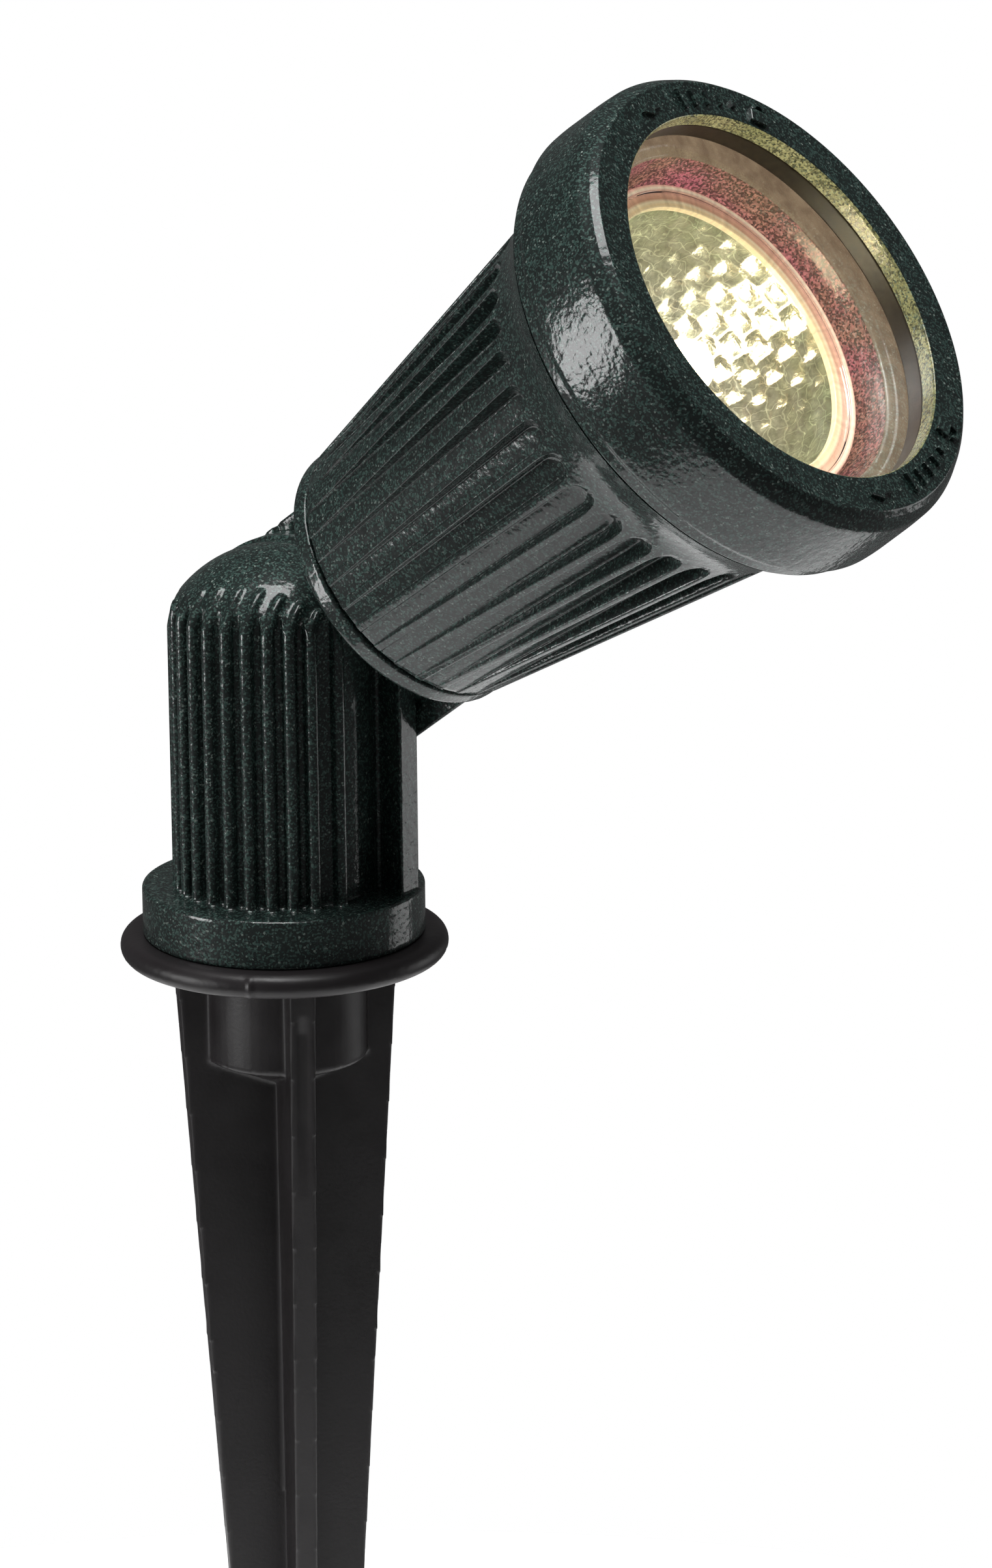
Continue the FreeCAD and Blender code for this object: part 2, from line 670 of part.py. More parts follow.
def lamp_base():
    """Ceramic block cemented in the neck, drilled for the capsule and the pins."""
    low = LAMP_LOW
    block = box(-7.0, 7.0, -4.2, 4.2, low, low + BOWL_LOW - 0.1)
    neck = disc(LAMP_NECK_R - 1.65, low + BOWL_LOW - 0.1, low + 12.0)
    socket = disc(3.1, low + 8.0, low + 13.0)
    pins = [disc(PIN_R + 0.02, low - 1, low + 6.0, x, 0) for x in PIN_PLACES]
    return cut_all(block.fuse(neck).removeSplitter(), [socket] + pins)


def lamp_pins():
    pins = [disc(PIN_R, LAMP_LOW - 7.0, LAMP_LOW + 6.0, x, 0) for x in PIN_PLACES]
    return Part.makeCompound(pins)


def lamp_capsule():
    """Hollow quartz capsule on a pinched stem."""
    stem_low = LAMP_LOW + 8.0
    tube_low = stem_low + 4.5
    tube_top = tube_low + CAPSULE_TUBE_L
    crown = Vector(0, 0, tube_top)
    inner_r = BULB_R - 0.8
    stem = disc(3.0, stem_low, tube_low)
    tube = disc(BULB_R, tube_low, tube_top).fuse(Part.makeSphere(BULB_R, crown))
    hollow = disc(inner_r, tube_low + 1.0, tube_top).fuse(Part.makeSphere(inner_r, crown))
    return fuse_all(stem, [tube]).cut(hollow)


def lamp_filament():
    """Coiled filament, drawn as the cylinder that its coil fills, on two support wires."""
    low = LAMP_LOW + 12.5
    coil = Part.makeCylinder(0.8, 4.0, Vector(-2.0, 0, low + FILAMENT_RISE), Vector(1, 0, 0))
    wires = [disc(0.25, low + 1.0, low + FILAMENT_RISE, x, 0) for x in (-1.8, 1.8)]
    return fuse_all(coil, wires)


def lamp_socket():
    """Ceramic two-pin socket behind the lamp."""
    top = SOCKET_TOP
    tools = []
    for x in PIN_PLACES:
        tools.append(disc(PIN_R + 0.65, top - 8.0, top + 1, x, 0))
        tools.append(disc(LEAD_R + 0.05, top - 10, top - 7, x, 0))
    for x in (-SOCKET_SCREW_X, SOCKET_SCREW_X):
        tools.append(disc(1.3, top - 10, top + 1, x, 0))
        tools.append(disc(2.2, top - COUNTERBORE, top + 1, x, 0))
    return cut_all(box(-SOCKET_HALF, SOCKET_HALF, -5.0, 5.0, top - SOCKET_H, top), tools)


def socket_contacts():
    """Two split spring tubes that grip the lamp's pins."""
    top = SOCKET_TOP
    solids = []
    for x in PIN_PLACES:
        tube = disc(PIN_R + 0.6, top - 8.0, top - 0.6, x, 0).cut(disc(PIN_R + 0.05, top - 7.4, top, x, 0))
        solids.append(tube.cut(box(x - 0.2, x + 0.2, 0, 3, top - 7.4, top)))
    return Part.makeCompound(solids)


def socket_bracket():
    """Bent strip that carries the socket on the housing's web."""
    top = SOCKET_TOP - SOCKET_H - 0.1
    low = depth(CONE_REAR_DEPTH) + SPIGOT_H + WEB_T
    plate = box(-SOCKET_HALF, SOCKET_HALF, -5.0, 5.0, top - STRIP_T, top)
    wall = box(-SOCKET_HALF, SOCKET_HALF, -5.0, -5.0 + STRIP_T, low, top)
    foot = box(-SOCKET_HALF, SOCKET_HALF, -8.8, -5.0 + STRIP_T, low, low + STRIP_T)
    bracket = fuse_all(plate, [wall, foot])
    holes = [disc(1.3, top - 2, top + 1, x, 0) for x in (-SOCKET_SCREW_X, SOCKET_SCREW_X)]
    holes += [disc(1.1, low - 1, low + 2, x, y) for x, y in bracket_screw_places()]
    lead_slot = box(-4.2, 4.2, -2.0, 2.0, top - 2, top + 1)
    return cut_all(bracket, holes + [lead_slot])


def small_screws(places, seat, length, radius):
    """Pan-head screws whose heads rest on a plane, shanks downwards."""
    solids = []
    for x, y in places:
        screw = disc(radius, seat - length, seat, x, y).fuse(disc(radius * 1.7, seat, seat + 1.1, x, y))
        slot = box(x - 3, x + 3, y - 0.2, y + 0.2, seat + 0.6, seat + 2)
        solids.append(screw.cut(slot).removeSplitter())
    return Part.makeCompound(solids)


def socket_screws():
    places = [(-SOCKET_SCREW_X, 0), (SOCKET_SCREW_X, 0)]
    return small_screws(places, SOCKET_TOP - COUNTERBORE, 10.6, 1.15)


def bracket_screws():
    seat = depth(CONE_REAR_DEPTH) + SPIGOT_H + WEB_T + STRIP_T
    return small_screws(bracket_screw_places(), seat, 2.3, 0.98)


def wire_seal():
    """Rubber plug that seals the leads where they enter the rear cap."""
    top = depth(CONE_REAR_DEPTH) + SPIGOT_H - CAP_GASKET_T
    plug = disc(SEAL_R, top - SEAL_T + 0.55, top, 0, SEAL_Y)
    leads = [disc(LEAD_R + 0.05, top - 4, top + 1, x, SEAL_Y) for x in (-1.2, 1.2)]
    return cut_all(plug, leads)


def lead_wires():
    """Two insulated leads from the socket down to the wire seal."""
    top = SOCKET_TOP - 8.2
    low = depth(CONE_REAR_DEPTH) + SPIGOT_H - SEAL_T
    bend = 4.5
    solids = []
    for side in (-1, 1):
        start = Vector(side * PIN_GAUGE / 2, 0, top)
        drop = Vector(side * PIN_GAUGE / 2, 0, top - 4.2)
        reach = Vector(side * 1.2, SEAL_Y, low + 7.6)
        end = Vector(side * 1.2, SEAL_Y, low)
        solids.append(bent_wire([start, drop, reach, end], bend, LEAD_R))
    return Part.makeCompound(solids)


def bent_wire(points, bend, radius):
    """Round wire along straight runs joined by tangent arcs."""
    edges = []
    start = points[0]
    for before, corner, after in zip(points, points[1:], points[2:]):
        way_in = (corner - before).normalize()
        way_out = (after - corner).normalize()
        half = way_in.getAngle(way_out) / 2
        reach = bend * math.tan(half)
        first = corner - way_in * reach
        last = corner + way_out * reach
        inward = (way_out - way_in).normalize()
        middle = corner + inward * (bend / math.cos(half) - bend)
        edges.append(Part.makeLine(start, first))
        edges.append(Part.Arc(first, middle, last).toShape())
        start = last
    edges.append(Part.makeLine(start, points[-1]))
    path = Part.Wire(edges)
    profile = Part.Wire(Part.makeCircle(radius, points[0], points[1] - points[0]))
    return path.makePipeShell([profile], True, False)


# ---------------------------------------------------------------- the whole light
STANDING = {
    "stake": stake,
    "wire_grommet": wire_grommet,
    "swivel_base": swivel_base,
    "knuckle_o_ring": knuckle_o_ring,
    "knuckle_screw": knuckle_screw,
}
HEAD = {
    "rear_cap": rear_cap,
    "rear_cap_gasket": rear_cap_gasket,
    "cap_screws": cap_screws,
    "housing": housing,
    "wire_seal": wire_seal,
    "lead_wires": lead_wires,
    "socket_bracket": socket_bracket,
    "bracket_screws": bracket_screws,
    "lamp_socket": lamp_socket,
    "socket_screws": socket_screws,
    "socket_contacts": socket_contacts,
    "lamp_base": lamp_base,
    "lamp_pins": lamp_pins,
    "lamp_capsule": lamp_capsule,
    "lamp_filament": lamp_filament,
    "lamp_reflector": lamp_reflector,
    "lamp_cover_glass": lamp_cover_glass,
    "lens": lens,
    "lens_gasket": lens_gasket,
    "bezel": bezel,
}

os.makedirs("parts", exist_ok=True)
for node, make in STANDING.items():
    save(node, make())
for node, make in HEAD.items():
    save(node, on_head(make()))
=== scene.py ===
import json
import math

import bmesh
import bpy
import numpy as np
from mathutils import Matrix, Vector


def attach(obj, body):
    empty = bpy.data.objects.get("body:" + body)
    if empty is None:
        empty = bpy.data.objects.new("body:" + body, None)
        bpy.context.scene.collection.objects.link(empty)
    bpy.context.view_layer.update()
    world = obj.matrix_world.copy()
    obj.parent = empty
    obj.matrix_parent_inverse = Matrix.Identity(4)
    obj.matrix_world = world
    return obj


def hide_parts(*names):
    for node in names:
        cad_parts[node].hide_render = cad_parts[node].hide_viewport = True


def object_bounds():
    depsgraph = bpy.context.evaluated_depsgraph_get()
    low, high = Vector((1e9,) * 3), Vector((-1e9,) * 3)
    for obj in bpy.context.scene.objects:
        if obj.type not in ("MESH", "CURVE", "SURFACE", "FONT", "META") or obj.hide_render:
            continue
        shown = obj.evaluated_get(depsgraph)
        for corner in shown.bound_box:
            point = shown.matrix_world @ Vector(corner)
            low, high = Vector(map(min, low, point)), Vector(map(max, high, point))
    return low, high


# Low-voltage garden spotlight on a ground stake. Lengths in this file are millimetres until
# a mesh is made; the scene itself is in metres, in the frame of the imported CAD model.
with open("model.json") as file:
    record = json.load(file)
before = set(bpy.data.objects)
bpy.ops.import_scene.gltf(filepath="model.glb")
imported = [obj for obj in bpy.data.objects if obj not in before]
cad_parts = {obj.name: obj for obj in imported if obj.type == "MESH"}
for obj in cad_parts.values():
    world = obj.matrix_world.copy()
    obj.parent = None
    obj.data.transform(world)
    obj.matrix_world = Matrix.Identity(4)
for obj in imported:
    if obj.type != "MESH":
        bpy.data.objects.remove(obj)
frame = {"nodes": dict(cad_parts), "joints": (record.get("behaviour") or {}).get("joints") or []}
cad_low, cad_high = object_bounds()
MM = 0.001
scene = bpy.context.scene
joints = {joint["name"]: joint for joint in frame["joints"]}
PIVOT = Vector(joints["head_tilt"]["pos_m"])
HEAD_AXIS = Vector(joints["bezel_travel"]["axis"]).normalized()
# Head pieces are made along local Z, which leaves the pivot through the lens.
HEAD = Matrix.Translation(PIVOT) @ Matrix.Rotation(math.acos(HEAD_AXIS.z), 4, "Y")

# ---------------------------------------------------------------- dimensions of the CAD model
FACE_S = 112.2
OPENING_R = 29.35
FACE_EDGE_R = 34.9
BEZEL_R = 37.0
CHAMFER_DEPTH = 2.9
BEZEL_SIDE_END = 14.3
BEZEL_END = 16.7
SEAT_DEPTH = 2.7
GASKET_T = 3.1
LENS_T = 3.0
LENS_R = 32.4
NOSE_R = 33.5
NOSE_BORE_R = 27.2
COLLAR_R = 36.0
RIB_FRONT_DEPTH = 26.4
RIB_FRONT_R = 30.6
CONE_REAR_DEPTH = 79.6
CONE_REAR_R = 21.9
HEAD_RIBS = 34
FLUTE_DEPTH = 3.0
LAMP_FACE_DEPTH = 13.6
LAMP_RIM_R = 25.2
LAMP_DEPTH = 36.0
LAMP_NECK_R = 7.0
CAPSULE_TUBE_L = 14.0
FILAMENT_RISE = 14.5
BOWL_FACETS_ROUND = 30
CLOSED_SIGN_ANGLE = 146.0
OPEN_SIGN_ANGLE = 34.0


def depth(d):
    """Local height of a plane that lies d behind the bezel's face."""
    return FACE_S - d


# ---------------------------------------------------------------- mesh helpers
def mesh_object(name, points, faces, matrix=None, sharp=40.0):
    """Object from points in millimetres, smooth shaded up to the sharp angle in degrees."""
    mesh = bpy.data.meshes.new(name)
    mesh.from_pydata((np.asarray(points) * MM).tolist(), [], faces)
    obj = bpy.data.objects.new(name, mesh)
    scene.collection.objects.link(obj)
    obj.matrix_world = matrix or Matrix.Identity(4)
    clean(mesh)
    mesh.shade_smooth()
    mesh.set_sharp_from_angle(angle=math.radians(sharp))
    return obj


def clean(mesh):
    """Merges points that lie on each other and turns all faces outwards."""
    bm = bmesh.new()
    bm.from_mesh(mesh)
    bmesh.ops.remove_doubles(bm, verts=bm.verts, dist=1e-7)
    bmesh.ops.dissolve_degenerate(bm, dist=1e-7, edges=bm.edges)
    bmesh.ops.recalc_face_normals(bm, faces=bm.faces)
    bm.to_mesh(mesh)
    bm.free()


def grid_faces(rows, columns, wrap_rows, wrap_columns=True):
    faces = []
    for i in range(rows if wrap_rows else rows - 1):
        for j in range(columns if wrap_columns else columns - 1):
            a = i * columns + j
            b = i * columns + (j + 1) % columns
            c = ((i + 1) % rows) * columns + (j + 1) % columns
            d = ((i + 1) % rows) * columns + j
            faces.append((a, b, c, d))
    return faces


def rounded(corners, arc_steps=5, closed=True):
    """(r, z) outline from (r, z, corner radius) corners, with a point close by each arc's ends."""
    outline = []
    count = len(corners)
    for i, (r, z, radius) in enumerate(corners):
        here = np.array([r, z])
        if radius == 0 or (not closed and i in (0, count - 1)):
            outline.append(here)
            continue
        before = np.array(corners[i - 1][:2]) - here
        after = np.array(corners[(i + 1) % count][:2]) - here
        reach = min(radius, 0.45 * np.linalg.norm(before), 0.45 * np.linalg.norm(after))
        start = here + before / np.linalg.norm(before) * reach
        end = here + after / np.linalg.norm(after) * reach
        ease = 0.12 * reach
        outline.append(start + before / np.linalg.norm(before) * ease)
        for t in np.linspace(0, 1, arc_steps + 1):
            outline.append((1 - t) ** 2 * start + 2 * t * (1 - t) * here + t * t * end)
        outline.append(end + after / np.linalg.norm(after) * ease)
    return np.array(outline)


def turned_piece(name, corners, steps=192, matrix=None, sharp=40.0, arc_steps=5):
    """Closed (r, z) outline turned about Z."""
    outline = rounded(corners, arc_steps)
    angles = np.linspace(0, 2 * math.pi, steps, endpoint=False)
    r, z = outline[:, 0][:, None], outline[:, 1][:, None]
    points = np.stack([r * np.cos(angles), r * np.sin(angles), z + 0 * angles], axis=-1)
    faces = grid_faces(len(outline), steps, True)
    return mesh_object(name, points.reshape(-1, 3), faces, matrix, sharp)


def soften(mesh, rounds, shrink=0.5, grow=-0.52):
    """Taubin smoothing: rounds the edges of a cast or moulded piece and keeps its size."""
    count = len(mesh.vertices)
    co = np.empty(count * 3)
    mesh.vertices.foreach_get("co", co)
    co = co.reshape(-1, 3)
    edges = np.empty(len(mesh.edges) * 2, int)
    mesh.edges.foreach_get("vertices", edges)
    a, b = edges.reshape(-1, 2).T
    valence = np.bincount(a, minlength=count) + np.bincount(b, minlength=count)
    for step in range(2 * rounds):
        factor = shrink if step % 2 == 0 else grow
        total = np.empty_like(co)
        for axis in range(3):
            total[:, axis] = np.bincount(a, co[b, axis], count) + np.bincount(b, co[a, axis], count)
        co = co + factor * (total / valence[:, None] - co)
    mesh.vertices.foreach_set("co", co.ravel())
    mesh.update()


def cast_copy(node, name, voxel, rounds, matrix=None, extra=None):
    """The CAD node's shape with the soft edges of a casting or moulding, as a new piece."""
    mesh = frame["nodes"][node].data.copy()
    matrix = matrix or Matrix.Identity(4)
    mesh.transform(matrix.inverted())
    clean(mesh)
    if extra:
        bm = bmesh.new()
        bm.from_mesh(mesh)
        for points, faces in extra:
            corners = [bm.verts.new(Vector(p) * MM) for p in points]
            for face in faces:
                bm.faces.new([corners[i] for i in face])
        bm.to_mesh(mesh)
        bm.free()
    obj = bpy.data.objects.new(name, mesh)
    scene.collection.objects.link(obj)
    remesh = obj.modifiers.new("remesh", "REMESH")
    remesh.mode = "VOXEL"
    remesh.voxel_size = voxel * MM
    bpy.context.view_layer.update()
    evaluated = obj.evaluated_get(bpy.context.evaluated_depsgraph_get())
    shaped = bpy.data.meshes.new_from_object(evaluated)
    obj.modifiers.clear()
    obj.data = shaped
    obj.matrix_world = matrix
    soften(shaped, rounds)
    shaped.materials.clear()
    shaped.shade_smooth()
    return obj


def move_points(obj, change):
    """Applies change(points in millimetres) -> points to the mesh of obj."""
    count = len(obj.data.vertices)
    co = np.empty(count * 3)
    obj.data.vertices.foreach_get("co", co)
    co = change(co.reshape(-1, 3) / MM) * MM
    obj.data.vertices.foreach_set("co", co.ravel())
    obj.data.update()


# ---------------------------------------------------------------- material helpers
class Finish:
    """A node material being written."""

    def __init__(self, name, **sockets):
        self.material = bpy.data.materials.new(name)
        self.material.use_nodes = True
        self.nodes = self.material.node_tree.nodes
        self.links = self.material.node_tree.links
        self.nodes.clear()
        self.out = self.nodes.new("ShaderNodeOutputMaterial")
        self.bsdf = self.nodes.new("ShaderNodeBsdfPrincipled")
        self.link(self.bsdf.outputs[0], self.out.inputs["Surface"])
        self.where = self.nodes.new("ShaderNodeTexCoord").outputs["Object"]
        for key, value in sockets.items():
            self.bsdf.inputs[key.replace("_", " ")].default_value = value

    def link(self, a, b):
        self.links.new(a, b)

    def math(self, operation, a, b=0.0, clamp=False):
        node = self.nodes.new("ShaderNodeMath")
        node.operation = operation
        node.use_clamp = clamp
        for socket, value in zip(node.inputs, (a, b)):
            if isinstance(value, (int, float)):
                socket.default_value = value
            else:
                self.link(value, socket)
        return node.outputs[0]

    def noise(self, scale, detail=2.0, rough=0.5, stretch=None):
        node = self.nodes.new("ShaderNodeTexNoise")
        node.inputs["Scale"].default_value = scale
        node.inputs["Detail"].default_value = detail
        node.inputs["Roughness"].default_value = rough
        where = self.where
        if stretch:
            mapping = self.nodes.new("ShaderNodeMapping")
            mapping.inputs["Scale"].default_value = stretch
            self.link(where, mapping.inputs["Vector"])
            where = mapping.outputs[0]
        self.link(where, node.inputs["Vector"])
        return node.outputs["Fac"]

    def cells(self, scale, output="Color", feature="F1"):
        node = self.nodes.new("ShaderNodeTexVoronoi")
        node.feature = feature
        node.inputs["Scale"].default_value = scale
        self.link(self.where, node.inputs["Vector"])
        return node.outputs[output]

    def split(self, colour):
        node = self.nodes.new("ShaderNodeSeparateColor")
        self.link(colour, node.inputs[0])
        return node.outputs

    def ramp(self, value, stops, easing="LINEAR"):
        node = self.nodes.new("ShaderNodeValToRGB")
        node.color_ramp.interpolation = easing
        elements = node.color_ramp.elements
        while len(elements) < len(stops):
            elements.new(0.5)
        for element, (place, colour) in zip(elements, stops):
            element.position = place
            grey = isinstance(colour, (int, float))
            element.color = (colour, colour, colour, 1) if grey else (*colour, 1)
        self.link(value, node.inputs["Fac"])
        return node.outputs["Color"]

    def mix(self, share, a, b, blend="MIX"):
        node = self.nodes.new("ShaderNodeMix")
        node.data_type = "RGBA"
        node.blend_type = blend
        for socket, value in ((node.inputs[0], share), (node.inputs[6], a), (node.inputs[7], b)):
            if isinstance(value, tuple):
                socket.default_value = (*value, 1)
            elif isinstance(value, (int, float)):
                socket.default_value = value
            else:
                self.link(value, socket)
        return node.outputs[2]

    def radius(self):
        """Distance from the local Z axis, in millimetres."""
        node = self.nodes.new("ShaderNodeSeparateXYZ")
        self.link(self.where, node.inputs[0])
        x, y = node.outputs[0], node.outputs[1]
        square = self.math("ADD", self.math("MULTIPLY", x, x), self.math("MULTIPLY", y, y))
        return self.math("MULTIPLY", self.math("SQRT", square), 1 / MM)

    def axis(self, index):
        """Local coordinate in millimetres."""
        node = self.nodes.new("ShaderNodeSeparateXYZ")
        self.link(self.where, node.inputs[0])
        return self.math("MULTIPLY", node.outputs[index], 1 / MM)

    def angle(self):
        """Angle about the local Z axis as a share of a turn, 0 to 1 from -X."""
        node = self.nodes.new("ShaderNodeSeparateXYZ")
        self.link(self.where, node.inputs[0])
        turn = self.math("ARCTAN2", node.outputs[1], node.outputs[0])
        return self.math("ADD", self.math("MULTIPLY", turn, 0.5 / math.pi), 0.5)

    def spokes(self, count):
        """Noise that changes round the local Z axis only."""
        join = self.nodes.new("ShaderNodeCombineXYZ")
        self.link(self.math("MULTIPLY", self.angle(), count), join.inputs[0])
        node = self.nodes.new("ShaderNodeTexNoise")
        node.inputs["Scale"].default_value = 1.0
        node.inputs["Detail"].default_value = 3.0
        self.link(join.outputs[0], node.inputs["Vector"])
        return node.outputs["Fac"]

    def span(self, value, low, high):
        """value mapped from low..high to 0..1."""
        node = self.nodes.new("ShaderNodeMapRange")
        node.inputs["From Min"].default_value = low
        node.inputs["From Max"].default_value = high
        self.link(value, node.inputs["Value"])
        return node.outputs[0]

    def bump(self, height, strength, distance, coat=False, after=None):
        node = self.nodes.new("ShaderNodeBump")
        node.inputs["Strength"].default_value = strength
        node.inputs["Distance"].default_value = distance * MM
        self.link(height, node.inputs["Height"])
        if after is not None:
            self.link(after, node.inputs["Normal"])
        self.link(node.outputs[0], self.bsdf.inputs["Normal"])
        if coat:
            self.link(node.outputs[0], self.bsdf.inputs["Coat Normal"])
        return node.outputs[0]

    def to(self, socket, value):
        self.link(value, self.bsdf.inputs[socket])


def powder_coat(name, peel=1.0):
    """Dark green powder coat with light metal flakes under a clear, orange-peel top."""
    f = Finish(name, Coat_Weight=0.9, Coat_Roughness=0.12, Coat_IOR=1.5, Specular_IOR_Level=0.25)
    chips = f.split(f.cells(3700.0))
    sparse = f.ramp(chips[0], [(0.62, 0.0), (0.80, 1.0)])
    bright = f.ramp(chips[1], [(0.97, 0.0), (0.99, 1.0)])
    cloud = f.noise(260.0, 3.0)
    ground = f.mix(f.ramp(cloud, [(0.3, 0.0), (0.7, 1.0)]), (0.0025, 0.0062, 0.0055), (0.006, 0.0125, 0.011))
    flake = f.mix(chips[2], (0.022, 0.052, 0.045), (0.070, 0.115, 0.100))
    body = f.mix(sparse, ground, flake)
    body = f.mix(bright, body, (0.15, 0.19, 0.17))
    f.to("Base Color", body)
    f.to("Metallic", f.math("MULTIPLY", sparse, 0.4))
    f.to("Roughness", f.span(f.noise(700.0, 2.0), -0.9, 1.6))
    skin = f.math("ADD", f.noise(850.0, 1.0), f.math("MULTIPLY", f.noise(2600.0, 2.0), 0.25))
    f.bump(skin, 0.45 * peel, 0.14, coat=True)
    return f


def finish_all():
    """Every material of the object, by name."""
    made = {"powder": powder_coat("powder_coat").material}
    made["powder_peel"] = powder_coat("powder_coat_heavy_peel", 1.9).material

    # The bezel's inner wall: the lamp's spill light on it is painted in as a yellow-olive emission, broken up
    # by the flakes.
    f = powder_coat("powder_coat_lit_rim")
    chips = f.split(f.cells(3600.0))
    grain = f.ramp(chips[0], [(0.1, 0.15), (0.9, 1.1)])
    glow = f.ramp(f.noise(160.0, 3.0), [(0.3, (0.25, 0.24, 0.09)), (0.7, (0.42, 0.38, 0.17))])
    f.to("Emission Color", f.mix(1.0, glow, grain, "MULTIPLY"))
    f.bsdf.inputs["Emission Strength"].default_value = 1.0
    made["powder_lit"] = f.material

    # Nose face of the housing: a tan reflection of the lamp, painted in as emission.
    f = powder_coat("powder_coat_lit_nose")
    streak = f.noise(500.0, 3.0)
    tan = f.mix(f.ramp(streak, [(0.35, 0.0), (0.7, 1.0)]), (0.28, 0.19, 0.12), (0.42, 0.30, 0.19))
    f.to("Emission Color", tan)
    f.bsdf.inputs["Emission Strength"].default_value = 0.75
    made["nose_lit"] = f.material

    # Lamp chamber wall: red light that the dichroic bowl lets through, on metal flakes, painted in as
    # emission that is stronger towards the front.
    f = powder_coat("powder_coat_lit_chamber")
    chips = f.split(f.cells(3300.0))
    sparkle = f.ramp(chips[0], [(0.30, 0.16), (0.95, 1.0)])
    patches = f.ramp(f.noise(120.0, 2.0), [(0.35, 0.0), (0.65, 1.0)])
    tint = f.mix(patches, (0.50, 0.22, 0.15), (0.60, 0.16, 0.19))
    inward = f.ramp(f.span(f.axis(2), 80.0, 103.4), [(0.0, 0.0), (0.45, 0.4), (0.75, 1.0), (1.0, 0.8)])
    f.to("Emission Color", f.mix(1.0, f.mix(1.0, tint, sparkle, "MULTIPLY"), inward, "MULTIPLY"))
    f.bsdf.inputs["Emission Strength"].default_value = 1.15
    made["chamber_lit"] = f.material

    # Injection-moulded stake.
    f = Finish("black_plastic", Roughness=0.4, Specular_IOR_Level=0.5, Coat_Weight=0.0)
    tone = f.ramp(f.noise(60.0, 3.0), [(0.3, (0.011, 0.0092, 0.010)), (0.7, (0.018, 0.0152, 0.0165))])
    f.to("Base Color", tone)
    f.to("Roughness", f.ramp(f.noise(140.0, 3.0), [(0.3, 0.34), (0.7, 0.46)]))
    drawn = f.math("MULTIPLY", f.noise(160.0, 1.0, stretch=(1, 1, 0.2)), 0.7)
    fine = f.math("ADD", f.noise(1800.0, 2.0), drawn)
    f.bump(fine, 0.16, 0.1)
    made["plastic"] = f.material

    f = Finish("black_rubber", Roughness=0.6, Specular_IOR_Level=0.4)
    grain = f.noise(900.0, 3.0)
    f.to("Base Color", f.ramp(grain, [(0.3, (0.012, 0.012, 0.012)), (0.7, (0.028, 0.027, 0.026))]))
    f.bump(f.noise(2200.0, 2.0), 0.2, 0.08)
    made["rubber"] = f.material

    f = Finish("brown_seal", Roughness=0.35, Specular_IOR_Level=0.5)
    grain = f.noise(700.0, 3.0)
    f.to("Base Color", f.ramp(grain, [(0.3, (0.010, 0.007, 0.005)), (0.7, (0.022, 0.015, 0.009))]))
    # Faint lamp light on the seal, painted in as emission.
    painted_spill_light = f.noise(900.0, 3.0)
    f.to("Emission Color", f.ramp(painted_spill_light, [(0.3, (0.006, 0.004, 0.002)), (0.7, (0.012, 0.008, 0.004))]))
    f.bsdf.inputs["Emission Strength"].default_value = 1.0
    f.bump(f.noise(1500.0, 2.0), 0.15, 0.08)
    made["seal"] = f.material

    made["glass"] = clear_glass("clear_glass", 1.5)
    made["quartz"] = clear_glass("lamp_quartz", 1.46, glow=2.0)

    # Faceted dichroic bowl: the capsule's light in it is painted in as emission, hottest near the neck, with
    # painted glints.
    f = Finish("dichroic_bowl", Metallic=1.0, Roughness=0.14)
    f.to("Base Color", f.ramp(f.noise(90.0, 3.0), [(0.3, (0.34, 0.34, 0.27)), (0.7, (0.46, 0.42, 0.35))]))
    up = f.span(f.axis(2), 72.0, 97.0)
    warm = f.ramp(
        up,
        [
            (0.0, (1.0, 0.94, 0.76)),
            (0.35, (0.62, 0.57, 0.40)),
            (0.7, (0.44, 0.43, 0.24)),
            (1.0, (0.33, 0.37, 0.19)),
        ],
    )
    painted_glint_speckle = f.ramp(f.noise(420.0, 4.0, 0.65), [(0.34, 0.35), (0.60, 1.0), (0.70, 1.9)])
    # Painted highlights: wavy bright outlines round the facets, as each one bends the light.
    facets_round = f.math("MULTIPLY", f.angle(), 2 * math.pi * BOWL_FACETS_ROUND)
    turns = f.math("ADD", facets_round, f.math("MULTIPLY", f.noise(330.0), 9.0))
    waves = f.math("ABSOLUTE", f.math("SINE", turns))
    steps = f.math("ADD", f.math("MULTIPLY", f.axis(2), 1.35), f.math("MULTIPLY", f.noise(260.0), 7.0))
    treads = f.math("ABSOLUTE", f.math("SINE", steps))
    lines = f.ramp(f.math("MINIMUM", waves, treads), [(0.0, 1.7), (0.10, 1.15), (0.28, 0.62), (1.0, 0.85)])
    lit = f.mix(1.0, f.mix(1.0, warm, painted_glint_speckle, "MULTIPLY"), lines, "MULTIPLY")
    f.to("Emission Color", lit)
    f.bsdf.inputs["Emission Strength"].default_value = 0.78
    f.bump(f.math("ADD", f.noise(900.0, 3.0), f.noise(260.0, 2.0, stretch=(1, 1, 3))), 0.35, 0.25)
    made["bowl"] = f.material
